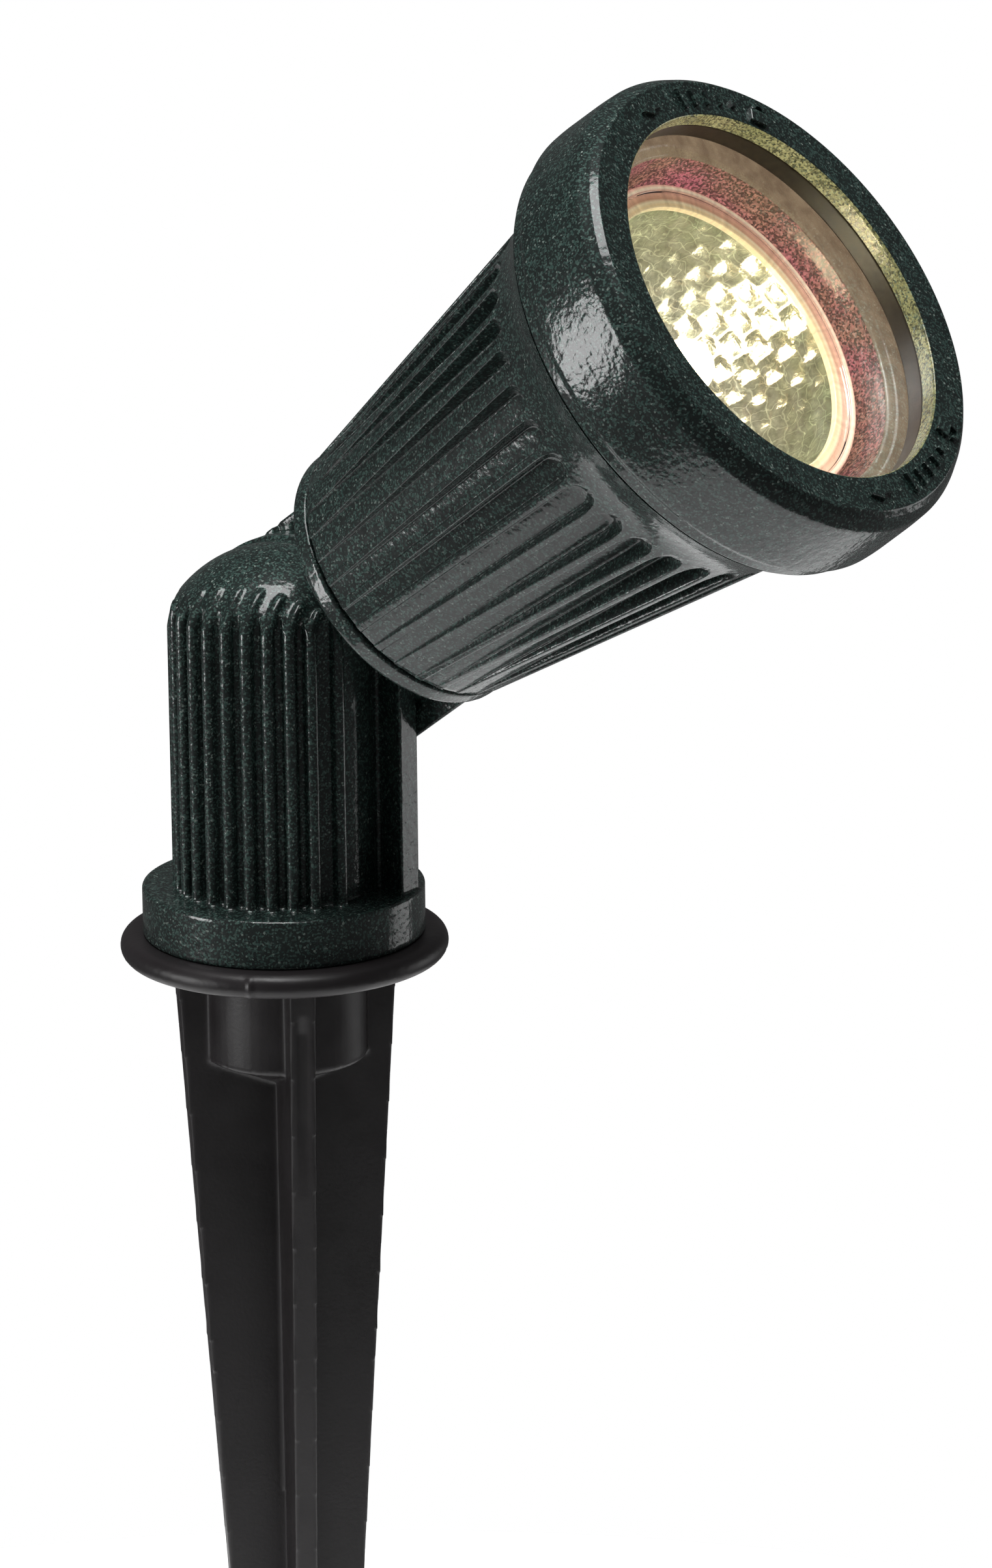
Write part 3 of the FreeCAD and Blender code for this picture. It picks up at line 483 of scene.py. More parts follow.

    # Outside of the bowl and its pressed rim; the lamp's light in the rim's rings is painted in as emission.
    f = Finish("bowl_rim_glass", Roughness=0.12, Coat_Weight=1.0, Coat_Roughness=0.03)
    rings = f.ramp(
        f.span(f.radius(), 21.4, 25.3),
        [
            (0.0, (1.0, 0.86, 0.55)),
            (0.16, (0.95, 0.70, 0.36)),
            (0.30, (0.98, 0.82, 0.52)),
            (0.42, (0.62, 0.30, 0.18)),
            (0.60, (0.85, 0.45, 0.30)),
            (0.70, (0.55, 0.25, 0.20)),
            (0.80, (1.0, 0.85, 0.60)),
            (0.90, (0.90, 0.52, 0.38)),
            (1.0, (0.60, 0.25, 0.22)),
        ],
    )
    spokes = f.ramp(f.spokes(150.0), [(0.30, 0.55), (0.65, 1.15)])
    f.to("Base Color", f.mix(0.5, rings, (0.5, 0.35, 0.25)))
    f.to("Emission Color", f.mix(1.0, rings, spokes, "MULTIPLY"))
    f.bsdf.inputs["Emission Strength"].default_value = 0.6
    made["rim_glass"] = f.material

    f = Finish("glowing_filament", Roughness=0.5, Emission_Strength=38.0)
    f.to("Base Color", f.ramp(f.noise(900.0), [(0.3, (0.8, 0.7, 0.5)), (0.7, (0.9, 0.8, 0.6))]))
    f.to("Emission Color", f.ramp(f.noise(900.0), [(0.3, (1.0, 0.80, 0.50)), (0.7, (1.0, 0.86, 0.60))]))
    made["filament"] = f.material

    f = Finish("ceramic", Roughness=0.7)
    f.to("Base Color", f.ramp(f.noise(600.0, 4.0), [(0.3, (0.70, 0.67, 0.60)), (0.7, (0.84, 0.82, 0.76))]))
    f.bump(f.noise(1500.0, 3.0), 0.2, 0.1)
    made["ceramic"] = f.material

    for name, low, high, rough in (
        ("brass", (0.55, 0.38, 0.14), (0.75, 0.56, 0.26), 0.28),
        ("zinc_steel", (0.50, 0.50, 0.48), (0.68, 0.68, 0.66), 0.32),
        ("stainless", (0.48, 0.48, 0.49), (0.62, 0.62, 0.63), 0.25),
    ):
        f = Finish(name, Metallic=1.0, Roughness=rough)
        f.to("Base Color", f.ramp(f.noise(500.0, 3.0), [(0.3, low), (0.7, high)]))
        f.to("Roughness", f.ramp(f.noise(300.0, 3.0), [(0.3, rough - 0.08), (0.7, rough + 0.12)]))
        f.bump(f.noise(2500.0, 2.0), 0.12, 0.05)
        made[name] = f.material

    f = Finish("glass_fibre_sleeving", Roughness=0.85)
    f.to("Base Color", f.ramp(f.noise(1500.0, 3.0), [(0.3, (0.60, 0.57, 0.48)), (0.7, (0.82, 0.80, 0.72))]))
    f.bump(f.cells(2600.0, "Distance"), 0.5, 0.15)
    made["sleeving"] = f.material
    return made


def clear_glass(name, index, glow=0.0):
    """Glass that lets light from lamps through to what it shuts in; glow is a lit capsule's."""
    f = Finish(name, Roughness=0.0, Transmission_Weight=1.0, IOR=index, Emission_Strength=glow)
    f.bsdf.inputs["Emission Color"].default_value = (1.0, 0.90, 0.66, 1.0)
    f.to("Base Color", f.ramp(f.noise(40.0), [(0.3, (0.97, 0.98, 0.975)), (0.7, (0.99, 1.0, 0.99))]))
    f.bump(f.noise(60.0, 1.0), 0.02, 0.1)
    path = f.nodes.new("ShaderNodeLightPath")
    through = f.nodes.new("ShaderNodeBsdfTransparent")
    mixer = f.nodes.new("ShaderNodeMixShader")
    f.link(path.outputs["Is Shadow Ray"], mixer.inputs[0])
    f.link(f.bsdf.outputs[0], mixer.inputs[1])
    f.link(through.outputs[0], mixer.inputs[2])
    f.link(mixer.outputs[0], f.out.inputs["Surface"])
    return f.material


MATERIALS = finish_all()


def settle(obj, body, material, replaces=()):
    """Material, body and the CAD nodes that a new piece stands for."""
    if not obj.data.materials:
        obj.data.materials.append(MATERIALS[material])
    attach(obj, body)
    if replaces:
        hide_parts(*replaces)
    return obj


def paint_faces(obj, materials, choose):
    """Gives each face the index that choose(face centre in millimetres, face normal) returns."""
    for name in materials:
        obj.data.materials.append(MATERIALS[name])
    for face in obj.data.polygons:
        face.material_index = choose(face.center / MM, face.normal)


# ---------------------------------------------------------------- housing
RIB_ACROSS = (0.0, 0.30, 0.44, 0.52, 0.58, 0.62, 0.66, 0.71, 0.80, 0.95)
RIB_HEIGHT = (1.0, 1.0, 0.99, 0.95, 0.84, 0.60, 0.30, 0.12, 0.03, 0.0)
FLUTE_ACROSS = (0.12, 0.30, 0.52, 0.76, 1.0)


def crest_radius(d):
    share = (d - RIB_FRONT_DEPTH) / (CONE_REAR_DEPTH - RIB_FRONT_DEPTH)
    return RIB_FRONT_R + share * (CONE_REAR_R - RIB_FRONT_R)


def collar_radius(d):
    """Flared collar between the flutes' front ends and the bezel."""
    share = (RIB_FRONT_DEPTH - d) / (RIB_FRONT_DEPTH - BEZEL_END - 0.25)
    return RIB_FRONT_R + (COLLAR_R - RIB_FRONT_R) * (0.35 * share + 0.65 * share**2.3)


def across_pitch():
    """(fixed millimetres, share of the flute, height) of the samples across half a pitch."""
    rib = [(s, 0.0, h) for s, h in zip(RIB_ACROSS, RIB_HEIGHT)]
    return rib + [(RIB_ACROSS[-1], share, 0.0) for share in FLUTE_ACROSS]


def housing():
    half = across_pitch()
    whole = [(-s, -share, h) for s, share, h in reversed(half[1:-1])] + half
    fixed, share, height = (np.array(column) for column in zip(*whole))
    ribs = np.arange(HEAD_RIBS)[:, None] * 2 * math.pi / HEAD_RIBS
    ramp_end = RIB_FRONT_DEPTH + 7.0
    depths = np.concatenate(
        [
            [CONE_REAR_DEPTH, CONE_REAR_DEPTH - 0.12, CONE_REAR_DEPTH - 0.3],
            np.linspace(CONE_REAR_DEPTH - 1.0, ramp_end, 26),
            np.linspace(ramp_end - 0.35, RIB_FRONT_DEPTH, 20),
            np.linspace(RIB_FRONT_DEPTH - 0.8, BEZEL_END + 0.65, 12),
        ]
    )
    rows = []
    for d in depths:
        crest = crest_radius(d) if d >= RIB_FRONT_DEPTH else collar_radius(d)
        half_pitch = math.pi * crest / HEAD_RIBS
        flute_half = half_pitch - RIB_ACROSS[-1]
        lateral = fixed + share * flute_half
        # The flutes fade out to the rear and end in an arch at the front.
        fade = np.clip((CONE_REAR_DEPTH - d) / (CONE_REAR_DEPTH - RIB_FRONT_DEPTH), 0, 1)
        off_centre = np.clip((half_pitch - np.abs(lateral)) / (half_pitch - 0.6), 0, 1)
        arch = 2.6 * (1 - np.sqrt(np.clip(1 - off_centre**2, 0, 1)))
        inward = np.clip((d - RIB_FRONT_DEPTH - arch) / 4.2, 0, 1)
        ramp = 1 - (1 - inward) ** 3.0
        flute = (FLUTE_DEPTH * fade + 0.14) * ramp * (1 - height)
        edge = {CONE_REAR_DEPTH: 0.3, CONE_REAR_DEPTH - 0.12: 0.1}.get(d, 0.0)
        radius = crest - flute - edge
        angle = ribs + lateral / crest
        r = np.broadcast_to(radius, angle.shape)
        ring = np.stack([r * np.cos(angle), r * np.sin(angle), np.full(angle.shape, depth(d))], -1)
        rows.append(ring.reshape(-1, 3))
    angle = (ribs + (fixed + share * (math.pi * COLLAR_R / HEAD_RIBS - RIB_ACROSS[-1])) / COLLAR_R).ravel()
    shoulder = depth(BEZEL_END + 0.25)
    front = depth(SEAT_DEPTH + GASKET_T + LENS_T + 0.05)
    web = depth(CONE_REAR_DEPTH) + 5.0
    inner = rounded(
        [
            (COLLAR_R - 0.2, shoulder - 0.1, 0),
            (COLLAR_R - 0.5, shoulder, 0),
            (NOSE_R, shoulder, 0),
            (NOSE_R, front, 0.5),
            (28.9, front, 0.2),
            (28.6, front - 0.25, 0.3),
            (NOSE_BORE_R, front - 0.5, 0.5),
            (NOSE_BORE_R - 0.6, depth(LAMP_FACE_DEPTH + 4.0), 0.5),
            (CONE_REAR_R - 3.4, web, 0),
            (9.0, web, 0),
            (9.0, web - 1.6, 0),
            (15.55, web - 1.6, 0),
            (15.55, depth(CONE_REAR_DEPTH), 0),
        ],
        6,
        closed=False,
    )
    fine = []
    for (r0, z0), (r1, z1) in zip(inner, inner[1:]):
        pieces = max(1, int(abs(z1 - z0) / 4.0))
        fine += [(r0 + (r1 - r0) * i / pieces, z0 + (z1 - z0) * i / pieces) for i in range(pieces)]
    fine.append(tuple(inner[-1]))
    for r, z in fine:
        rows.append(np.stack([r * np.cos(angle), r * np.sin(angle), np.full(angle.shape, z)], -1))
    points = np.concatenate(rows)
    obj = mesh_object("housing_casting", points, grid_faces(len(rows), len(angle), True), HEAD, 50.0)
    nose = front - 0.8

    def choose(centre, normal):
        reach = math.hypot(centre.x, centre.y)
        if centre.z > nose and reach < NOSE_R - 0.2:
            return 1
        inward = normal.x * centre.x + normal.y * centre.y < 0
        if centre.z > depth(60) and reach < NOSE_BORE_R + 0.3 and inward:
            return 2
        return 0

    # The nose face and the chamber wall get copies of the powder coat with the lamp's light painted in as
    # emission.
    paint_faces(obj, ("powder", "nose_lit", "chamber_lit"), choose)
    return settle(obj, "head", "powder", ["housing"])


# ---------------------------------------------------------------- bezel, lens and seals
def bezel():
    obj = turned_piece(
        "bezel_casting",
        [
            (OPENING_R, depth(0), 0.45),
            (30.6, depth(0), 0),
            (FACE_EDGE_R - 0.9, depth(0), 0),
            (FACE_EDGE_R, depth(-0.05), 0.22),
            (FACE_EDGE_R + 0.9, depth(0.9), 0.1),
            (BEZEL_R - 0.15, depth(CHAMFER_DEPTH - 0.2), 0.45),
            (BEZEL_R + 0.05, depth(5.5), 1.0),
            (BEZEL_R + 0.2, depth(BEZEL_SIDE_END - 2.2), 1.0),
            (BEZEL_R + 0.1, depth(BEZEL_SIDE_END - 0.2), 1.1),
            (COLLAR_R + 0.35, depth(BEZEL_SIDE_END + 0.4), 0.35),
            (COLLAR_R + 0.15, depth(BEZEL_END), 0.3),
            (NOSE_R + 0.25, depth(BEZEL_END), 0),
            (NOSE_R + 0.25, depth(8.2), 0),
            (32.7, depth(8.2), 0),
            (32.7, depth(SEAT_DEPTH), 0),
            (OPENING_R, depth(SEAT_DEPTH), 0.2),
        ],
        288,
        HEAD,
        50.0,
        6,
    )

    def choose(centre, normal):
        reach = math.hypot(centre.x, centre.y)
        if reach < OPENING_R + 0.16 and centre.z > depth(SEAT_DEPTH + 0.1):
            return 1
        return 2 if reach > BEZEL_R - 0.4 else 0

    # The opening's inner wall gets the powder coat with the lamp's spill light painted in as emission.
    paint_faces(obj, ("powder", "powder_lit", "powder_peel"), choose)
    return settle(obj, "bezel", "powder", ["bezel"])


def outline_solid(bm, outline, place, height, sunk=0.2):
    """Extruded outline with a narrow bevel, standing on the bezel's face."""
    low = [bm.verts.new(place @ Vector((x, y, -sunk))) for x, y in outline]
    mid = [bm.verts.new(place @ Vector((x, y, height - 0.12))) for x, y in outline]
    centre = np.mean(outline, axis=0)
    top = []
    for x, y in outline:
        away = np.array([x, y]) - centre
        inner = np.array([x, y]) - away / (np.linalg.norm(away) + 1e-9) * 0.1
        top.append(bm.verts.new(place @ Vector((inner[0], inner[1], height))))
    count = len(outline)
    for a, b in ((low, mid), (mid, top)):
        for i in range(count):
            bm.faces.new((a[i], a[(i + 1) % count], b[(i + 1) % count], b[i]))
    bm.faces.new(top)
    bm.faces.new(low[::-1])


def rounded_box(x0, x1, y0, y1, radius, steps=4):
    outline = []
    for cx, cy, start in (
        (x1 - radius, y1 - radius, 0),
        (x0 + radius, y1 - radius, 90),
        (x0 + radius, y0 + radius, 180),
        (x1 - radius, y0 + radius, 270),
    ):
        for i in range(steps + 1):
            a = math.radians(start + 90 * i / steps)
            outline.append((cx + radius * math.cos(a), cy + radius * math.sin(a)))
    return outline


def bezel_marks():
    """Raised turning marks: closed and open padlock, ticks and arrows."""
    bm = bmesh.new()
    middle = (OPENING_R + FACE_EDGE_R) / 2
    height = 0.65
    for start, is_open in ((CLOSED_SIGN_ANGLE, False), (OPEN_SIGN_ANGLE, True)):
        way = -1.0 if is_open else 1.0
        lift = 0.5 if is_open else 0.0
        shapes = [(rounded_box(-1.6, 1.6, -1.9, 0.3, 0.3), 0.0)]
        bow = []
        for radius, order in ((1.25, range(0, 13)), (0.7, range(12, -1, -1))):
            for i in order:
                a = math.radians(15 * i)
                bow.append((radius * math.cos(a), 0.4 + lift + radius * math.sin(a)))
        shapes.append((bow, 0.0))
        shapes.append((rounded_box(-1.25, -0.7, 0.2, 0.5 + lift, 0.05), 0.0))
        for i in range(5):
            half = 0.7 + 0.25 * i
            shapes.append((rounded_box(-0.3, 0.3, -half, half, 0.15), way * (9.0 + 5.0 * i)))
        tip = [(0, -0.35), (2.4, -0.35), (2.4, -1.2), (4.8, 0), (2.4, 1.2), (2.4, 0.35), (0, 0.35)]
        if not is_open:
            tip = [(-x, -y) for x, y in tip]
        shapes.append((tip, way * 39.0))
        for outline, offset in shapes:
            turn = Matrix.Rotation(math.radians(start + offset - 90.0), 4, "Z")
            outline_solid(bm, outline, turn @ Matrix.Translation((0, middle, depth(0))), height)
    mesh = bpy.data.meshes.new("bezel_turning_marks")
    bmesh.ops.recalc_face_normals(bm, faces=bm.faces)
    bm.to_mesh(mesh)
    bm.free()
    mesh.transform(Matrix.Scale(MM, 4))
    obj = bpy.data.objects.new("bezel_turning_marks", mesh)
    scene.collection.objects.link(obj)
    obj.matrix_world = HEAD
    return settle(obj, "bezel", "powder")


def disc_piece(name, radius, low, high, edge, material, body, node):
    """Pane of glass: a closed disc with an eased edge."""
    rings = [0.0, 0.25, 0.5, 0.75]
    outline = [(radius * s, high) for s in rings]
    outline += [(radius - edge, high), (radius, high - edge), (radius, low + edge), (radius - edge, low)]
    outline += [(radius * s, low) for s in reversed(rings)]
    steps = 160
    angles = np.linspace(0, 2 * math.pi, steps, endpoint=False)
    points = [(r * math.cos(a), r * math.sin(a), z) for r, z in outline for a in angles]
    obj = mesh_object(name, points, grid_faces(len(outline), steps, False), HEAD, 30.0)
    return settle(obj, body, material, [node])


def lens_and_gasket():
    top = depth(SEAT_DEPTH)
    back = top - GASKET_T - LENS_T
    disc_piece("lens_pane", LENS_R, back, back + LENS_T, 0.3, "glass", "lens_pack", "lens")
    ring = turned_piece(
        "lens_gasket_ring",
        [
            (LENS_R, top - GASKET_T, 0.2),
            (LENS_R, top, 0.2),
            (OPENING_R + 0.1, top, 0.3),
            (OPENING_R + 0.1, top - GASKET_T, 0.3),
        ],
        224,
        HEAD,
    )
    settle(ring, "lens_pack", "seal", ["lens_gasket"])


# ---------------------------------------------------------------- lamp
def bowl_radius(share, wall):
    spread = LAMP_RIM_R - 2.0 - LAMP_NECK_R
    return LAMP_NECK_R + spread * np.sqrt(np.clip(1 - (1 - share) ** 2, 0, 1)) - wall


def lamp_bowl():
    """Reflector bowl: staggered convex facets inside, a pressed rim, smooth outside."""
    face = depth(LAMP_FACE_DEPTH)
    neck = depth(LAMP_FACE_DEPTH + LAMP_DEPTH) + 10.0
    length = LAMP_DEPTH - 12.0
    bands, per_band, around, per_facet = 9, 9, BOWL_FACETS_ROUND, 10
    columns = around * per_facet
    angles = np.linspace(0, 2 * math.pi, columns, endpoint=False)
    rows = []

    def ring(radius, z):
        r = np.broadcast_to(radius, angles.shape)
        rows.append(np.stack([r * np.cos(angles), r * np.sin(angles), np.full(angles.shape, z)], -1))

    shares = np.linspace(0.0, 1.0, bands * per_band + 1) ** 1.35
    for i, share in enumerate(shares[:-1]):
        band, within = divmod(i, per_band)
        u = 2 * within / per_band - 1
        v = 2 * ((np.arange(columns) + (band % 2) * per_facet / 2) % per_facet) / per_facet - 1
        wobble = 0.25 * np.sin(7.0 * angles + 1.7 * band) + 0.2 * np.sin(13.0 * angles + 0.6 * band)
        bulge = (0.30 + 0.08 * wobble) * (1 - u * u) * (1 - v * v)
        ring(bowl_radius(share, 1.6) - bulge, neck + length * share)
    inner_top = float(bowl_radius(1.0, 1.6))
    rim_corners = [
        (inner_top, neck + length, 0),
        (inner_top, face - 1.1, 0.2),
        (LAMP_RIM_R - 1.0, face - 1.1, 0.1),
        (LAMP_RIM_R - 1.0, face, 0.35),
        (LAMP_RIM_R, face, 0.5),
        (LAMP_RIM_R, face - 2.0, 0.5),
        (LAMP_RIM_R - 2.0, face - 2.0, 0),
    ]
    for r, z in rounded(rim_corners, 5, closed=False):
        ring(r, z)
    for share in np.linspace(1.0, 0.0, 24)[1:]:
        ring(bowl_radius(share, 0.0), neck + length * share)
    obj = mesh_object("lamp_bowl", np.concatenate(rows), grid_faces(len(rows), columns, True), HEAD, 60.0)
    ledge = neck + length - 0.05

    def choose(centre, normal):
        inside = normal.x * centre.x + normal.y * centre.y < 0
        return 0 if inside and centre.z < ledge else 1

    paint_faces(obj, ("bowl", "rim_glass"), choose)
    return settle(obj, "head", "bowl", ["lamp_reflector"])


def lamp_parts():
    lamp_bowl()
    face = depth(LAMP_FACE_DEPTH)
    disc_piece(
        "lamp_cover_pane",
        LAMP_RIM_R - 1.1,
        face - 1.05,
        face - 0.05,
        0.15,
        "glass",
        "head",
        "lamp_cover_glass",
    )
    # Capsule: pinched stem, tube and domed crown with its sealed tip, hollow inside.
    low = depth(LAMP_FACE_DEPTH + LAMP_DEPTH) + 8.0
    tube = low + 4.5
    crown = tube + CAPSULE_TUBE_L
    outer = [(0.0, low), (2.6, low), (3.0, low + 0.4), (3.0, tube - 0.8)]
    outer += [(3.5, tube - 0.3), (4.1, tube + 0.3), (4.2, tube + 1.0)]
    outer += [(4.2 * math.cos(a), crown + 4.2 * math.sin(a)) for a in np.linspace(0, math.pi / 2 - 0.25, 10)]
    outer += [(0.75, crown + 4.12), (0.45, crown + 4.18), (0.0, crown + 4.2)]
    inner = [(3.4 * math.cos(a), crown + 3.4 * math.sin(a)) for a in np.linspace(math.pi / 2, 0, 10)]
    inner += [(3.4, tube + 1.4), (3.1, tube + 1.05), (0.0, tube + 1.0)]
    steps = 64
    angles = np.linspace(0, 2 * math.pi, steps, endpoint=False)
    points = [(r * math.cos(a), r * math.sin(a), z) for r, z in outer + inner for a in angles]
    faces = grid_faces(len(outer), steps, False)
    offset = len(outer) * steps
    faces += [tuple(offset + i for i in f) for f in grid_faces(len(inner), steps, False)]
    capsule = mesh_object("lamp_capsule_tube", points, faces, HEAD, 60.0)
    settle(capsule, "head", "quartz", ["lamp_capsule"])
    # Filament: a close coil across the axis, on two legs.
    middle = tube + FILAMENT_RISE
    turns, coil_r, wire_r = 9, 0.62, 0.16
    path = []
    for i in range(turns * 16 + 1):
        a = 2 * math.pi * i / 16
        path.append((-1.8 + 3.6 * i / (turns * 16), coil_r * math.cos(a), middle + coil_r * math.sin(a)))
    left_leg = [(-1.8, 0, low + 5.6), (-1.8, 0, middle - 0.9)]
    right_leg = [(1.8, 0, middle - 0.9), (1.8, 0, low + 5.6)]
    path = left_leg + path + right_leg
    curve = bpy.data.curves.new("coil", "CURVE")
    curve.dimensions = "3D"
    curve.bevel_depth = wire_r * MM
    curve.bevel_resolution = 2
    spline = curve.splines.new("POLY")
    spline.points.add(len(path) - 1)
    for point, (x, y, z) in zip(spline.points, path):
        point.co = (x * MM, y * MM, z * MM, 1)
    curve.use_fill_caps = True
    coil = bpy.data.objects.new("coil", curve)
    scene.collection.objects.link(coil)
    bpy.context.view_layer.update()
    mesh = bpy.data.meshes.new_from_object(coil.evaluated_get(bpy.context.evaluated_depsgraph_get()))
    bpy.data.objects.remove(coil)
    mesh.materials.clear()
    mesh.shade_smooth()
    filament = bpy.data.objects.new("lamp_filament_coil", mesh)
    scene.collection.objects.link(filament)
    filament.matrix_world = HEAD
    settle(filament, "head", "filament", ["lamp_filament"])


# ---------------------------------------------------------------- castings and the stake
PIVOT_Z = 44.9
DOME_R = 19.2
COLUMN_RIB_PITCH = 11.9  # degrees
RIB_TIP_PROUD = 0.55


def rib_tips():
    """Ribs' rounded ends, which run straight back from the column's front on to the dome."""
    tubes = []
    sides, radius, crest = 12, 0.95, 15.85
    for i in range(-4, 5):
        turn = math.radians((i + 0.5) * COLUMN_RIB_PITCH)
        x, front = crest * math.sin(turn), -crest * math.cos(turn)
        run = 4.2 * max(0.2, 1 - ((i + 0.5) * COLUMN_RIB_PITCH / 62.0 - 0.2) ** 2)
        core = DOME_R - radius + RIB_TIP_PROUD
        path = [(front, 2.0), (front, 7.5)]
        for t in np.linspace(0.0, 1.0, 9):
            y = front + run * t
            z = math.sqrt(core * core - x * x - y * y)
            path.append((y, z - 1.1 * (1 - t) ** 4))
        path.append((front + run + 0.7, path[-1][1] - 0.25))
        shares = [1.0] * (len(path) - 2) + [0.85, 0.3]
        points = []
        for k, (y, z) in enumerate(path):
            before, after = path[max(k - 1, 0)], path[min(k + 1, len(path) - 1)]
            along = Vector((0, after[0] - before[0], after[1] - before[1])).normalized()
            side = Vector((0, -along.z, along.y))
            for n in range(sides):
                t = 2 * math.pi * n / sides
                ring = Vector((math.cos(t), 0, 0)) + side * math.sin(t)
                points.append(tuple(Vector((x, y, z + PIVOT_Z)) + ring * radius * shares[k]))
        faces = grid_faces(len(path), sides, False)
        faces += [tuple(range(sides)), tuple(reversed(range(len(points) - sides, len(points))))]
        tubes.append((points, faces))
    return tubes


def castings():
    base = cast_copy("swivel_base", "swivel_base_casting", 0.26, 3, extra=rib_tips())
    settle(base, "swivel", "powder", ["swivel_base"])
    cap = cast_copy("rear_cap", "rear_cap_casting", 0.26, 3, HEAD)
    settle(cap, "head", "powder", ["rear_cap"])


def stake():
    obj = cast_copy("stake", "stake_moulding", 0.42, 5)
    flash = math.radians(-66.0)

    def shape(p):
        p = p.copy()
        reach = np.hypot(p[:, 0], p[:, 1])
        angle = np.arctan2(p[:, 1], p[:, 0])
        # Parting-line flash on the flange's rim.
        off = np.abs(np.angle(np.exp(1j * (angle - flash)))) * reach
        ridge = np.clip(1 - off / 0.7, 0, 1) * np.clip((reach - 23.2) / 1.0, 0, 1) * (p[:, 2] > -0.1)
        out = 1 + 0.35 * ridge / np.maximum(reach, 1)
        p[:, 0] *= out
        p[:, 1] *= out
        # Sink marks down the fins' edges.
        for k in range(4):
            way = math.radians(45 + 90 * k)
            along = p[:, 0] * math.cos(way) + p[:, 1] * math.sin(way)
            across = -p[:, 0] * math.sin(way) + p[:, 1] * math.cos(way)
            length = 26.0 + 9.0 * math.sin(2.1 * k + 0.4)
            edge = np.clip(1 - (across / 1.1) ** 2, 0, 1) * (along > 9.0)
            part = np.clip((-5.0 - p[:, 2]) / 3.0, 0, 1) * np.clip((p[:, 2] + 5.0 + length) / 12.0, 0, 1)
            pull = 0.45 * edge * part * (p[:, 2] < -1.0)
            p[:, 0] -= pull * math.cos(way)
            p[:, 1] -= pull * math.sin(way)
        return p

    move_points(obj, shape)
    settle(obj, "ground", "plastic", ["stake"])


KEPT = {
    "wire_grommet": "rubber",
    "knuckle_o_ring": "rubber",
    "knuckle_screw": "stainless",
    "rear_cap_gasket": "rubber",
    "cap_screws": "stainless",
    "wire_seal": "rubber",
    "lead_wires": "sleeving",
    "socket_bracket": "zinc_steel",
    "bracket_screws": "stainless",
    "lamp_socket": "ceramic",
    "socket_screws": "zinc_steel",
    "socket_contacts": "brass",
    "lamp_base": "ceramic",
    "lamp_pins": "zinc_steel",
}


def kept_nodes():
    """CAD nodes whose shape is already right, with a material."""
    for node, material in KEPT.items():
        obj = frame["nodes"][node]
        obj.data.materials.clear()
        obj.data.materials.append(MATERIALS[material])


# ---------------------------------------------------------------- stage, light and camera
def light(name, kind, energy, place, target, size=None, colour=(1, 1, 1), **extra):
    data = bpy.data.lights.new(name, kind)
    data.energy = energy
    data.color = colour
    if size:
        data.shape = "RECTANGLE"
        data.size, data.size_y = size
    for key, value in extra.items():
        setattr(data, key, value)
    obj = bpy.data.objects.new(name, data)
    scene.collection.objects.link(obj)
    obj.location = place
    obj.rotation_euler = (Vector(target) - Vector(place)).to_track_quat("-Z", "Y").to_euler()
    return obj


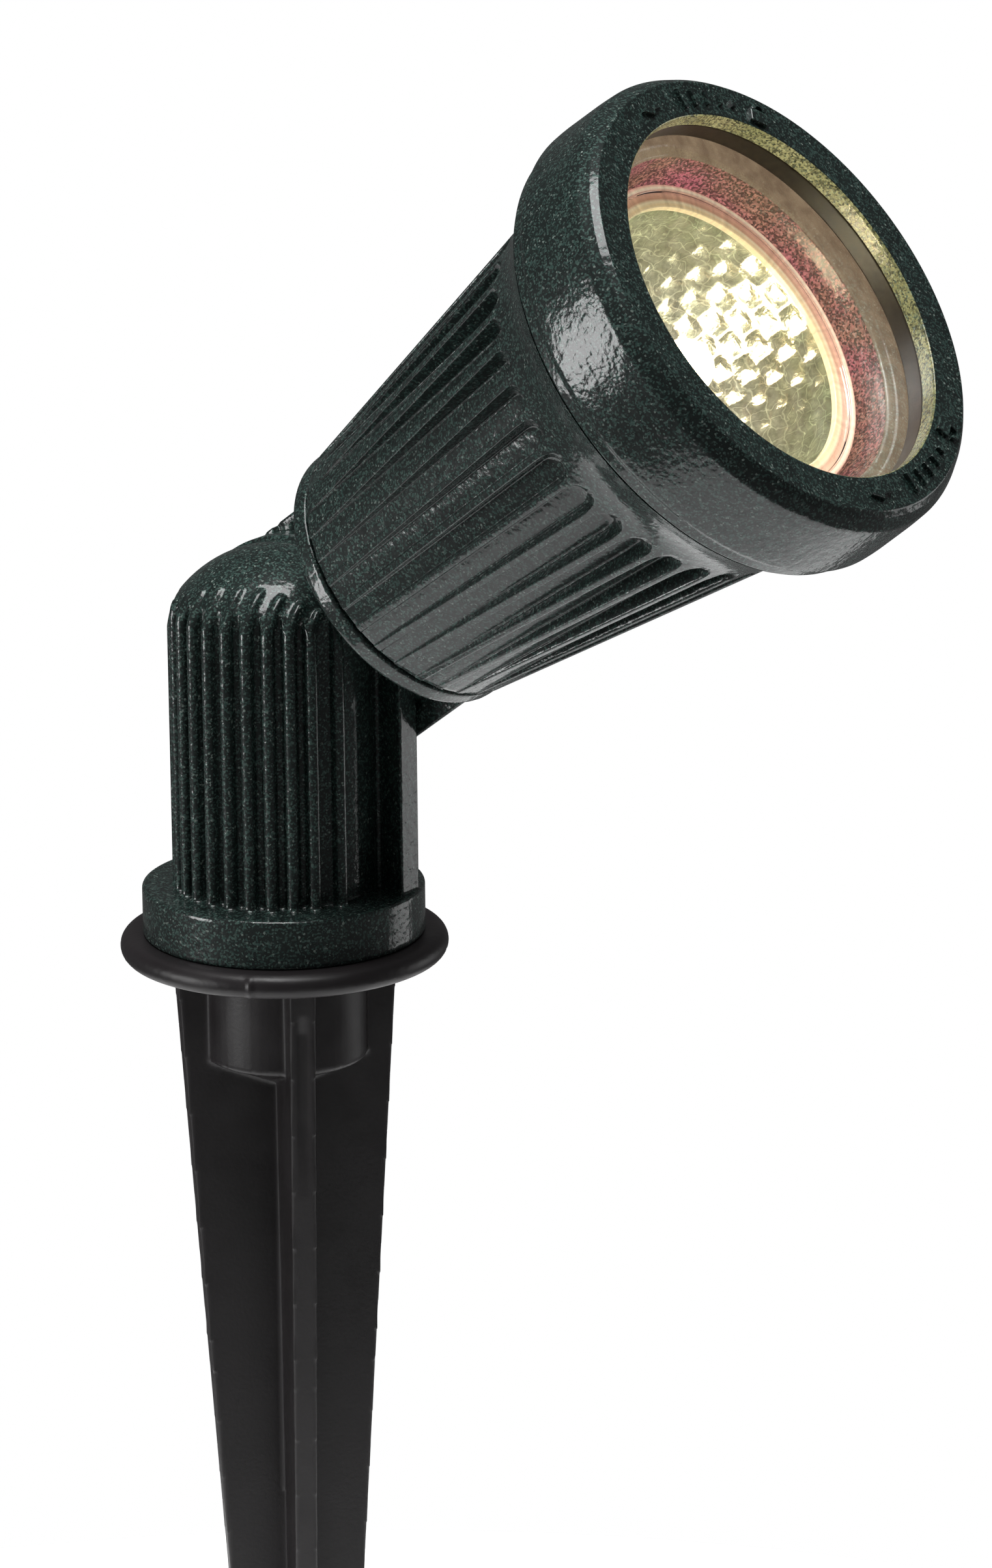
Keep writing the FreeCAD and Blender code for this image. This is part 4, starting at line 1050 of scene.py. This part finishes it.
def stage():
    floor_z = cad_low.z - 0.0005
    steps, rings = 96, (0.0, 0.15, 0.3)
    points = [
        (r / MM * math.cos(2 * math.pi * i / steps), r / MM * math.sin(2 * math.pi * i / steps), floor_z / MM)
        for r in rings
        for i in range(steps)
    ]
    floor = mesh_object("studio_floor", points, grid_faces(len(rings), steps, False))
    f = Finish("studio_floor", Roughness=0.9, Specular_IOR_Level=0.1)
    f.to("Base Color", f.ramp(f.noise(3.0), [(0.3, 0.93), (0.7, 0.95)]))
    floor.data.materials.append(f.material)

    world = bpy.data.worlds.new("studio")
    scene.world = world
    world.use_nodes = True
    nodes, links = world.node_tree.nodes, world.node_tree.links
    dim = nodes["Background"]
    dim.inputs["Color"].default_value = (1, 1, 1, 1)
    dim.inputs["Strength"].default_value = 0.08
    # The pale backdrop is seen beyond the floor's edge and adds no light of its own.
    backdrop = nodes.new("ShaderNodeBackground")
    backdrop.inputs["Color"].default_value = (1, 1, 1, 1)
    path = nodes.new("ShaderNodeLightPath")
    mixer = nodes.new("ShaderNodeMixShader")
    links.new(path.outputs["Is Camera Ray"], mixer.inputs[0])
    links.new(dim.outputs[0], mixer.inputs[1])
    links.new(backdrop.outputs[0], mixer.inputs[2])
    links.new(mixer.outputs[0], nodes["World Output"].inputs["Surface"])
    head = (0.08, 0.0, 0.1)
    sky = light("soft_sky", "SUN", 2.6, (-0.2, 0.3, 1.6), (0, 0, 0), angle=math.radians(60))
    sky.visible_glossy = False
    light("top_box", "AREA", 9.0, (0.10, -0.16, 1.15), (0.0, 0.0, 0.1), (0.60, 0.60))
    light("left_box", "AREA", 6.5, (-0.66, -0.96, 0.06), head, (0.40, 0.56))
    light("right_card", "AREA", 1.1, (0.62, 0.92, -0.10), (0.0, 0.0, 0.0), (0.5, 0.5))
    scene.view_settings.view_transform = "Standard"
    scene.view_settings.look = "None"
    scene.view_settings.exposure = 0.0


# The camera stands in front and to the right of the lamp, above it, and looks down.
CAMERA_AZIMUTH = 0.634
CAMERA_DISTANCE = 1.04259
CAMERA_HEIGHT = 0.32555
CAMERA_DOWN = 0.2796
CAMERA_YAW = 0.0311
CAMERA_ROLL = -0.0104
CAMERA_LENS = 164.45


def camera():
    turn = Matrix.Rotation(CAMERA_AZIMUTH, 3, "Z")
    level = math.cos(CAMERA_DOWN)
    ahead = Vector((math.sin(CAMERA_YAW) * level, math.cos(CAMERA_YAW) * level, -math.sin(CAMERA_DOWN)))
    right = Vector((math.cos(CAMERA_YAW), -math.sin(CAMERA_YAW), 0))
    up = right.cross(ahead)
    tilt_c, tilt_s = math.cos(CAMERA_ROLL), math.sin(CAMERA_ROLL)
    columns = [turn @ (right * tilt_c + up * tilt_s), turn @ (up * tilt_c - right * tilt_s), turn @ -ahead]
    data = bpy.data.cameras.new("camera")
    data.lens = CAMERA_LENS
    data.sensor_width = 36.0
    data.clip_start, data.clip_end = 0.05, 50.0
    obj = bpy.data.objects.new("camera", data)
    scene.collection.objects.link(obj)
    place = turn @ Vector((0, -CAMERA_DISTANCE, 0)) + Vector((0, 0, CAMERA_HEIGHT))
    obj.matrix_world = Matrix.Translation(place) @ Matrix(columns).transposed().to_4x4()
    scene.camera = obj


camera()
stage()
housing()
bezel()
bezel_marks()
lens_and_gasket()
lamp_parts()
castings()
stake()
kept_nodes()
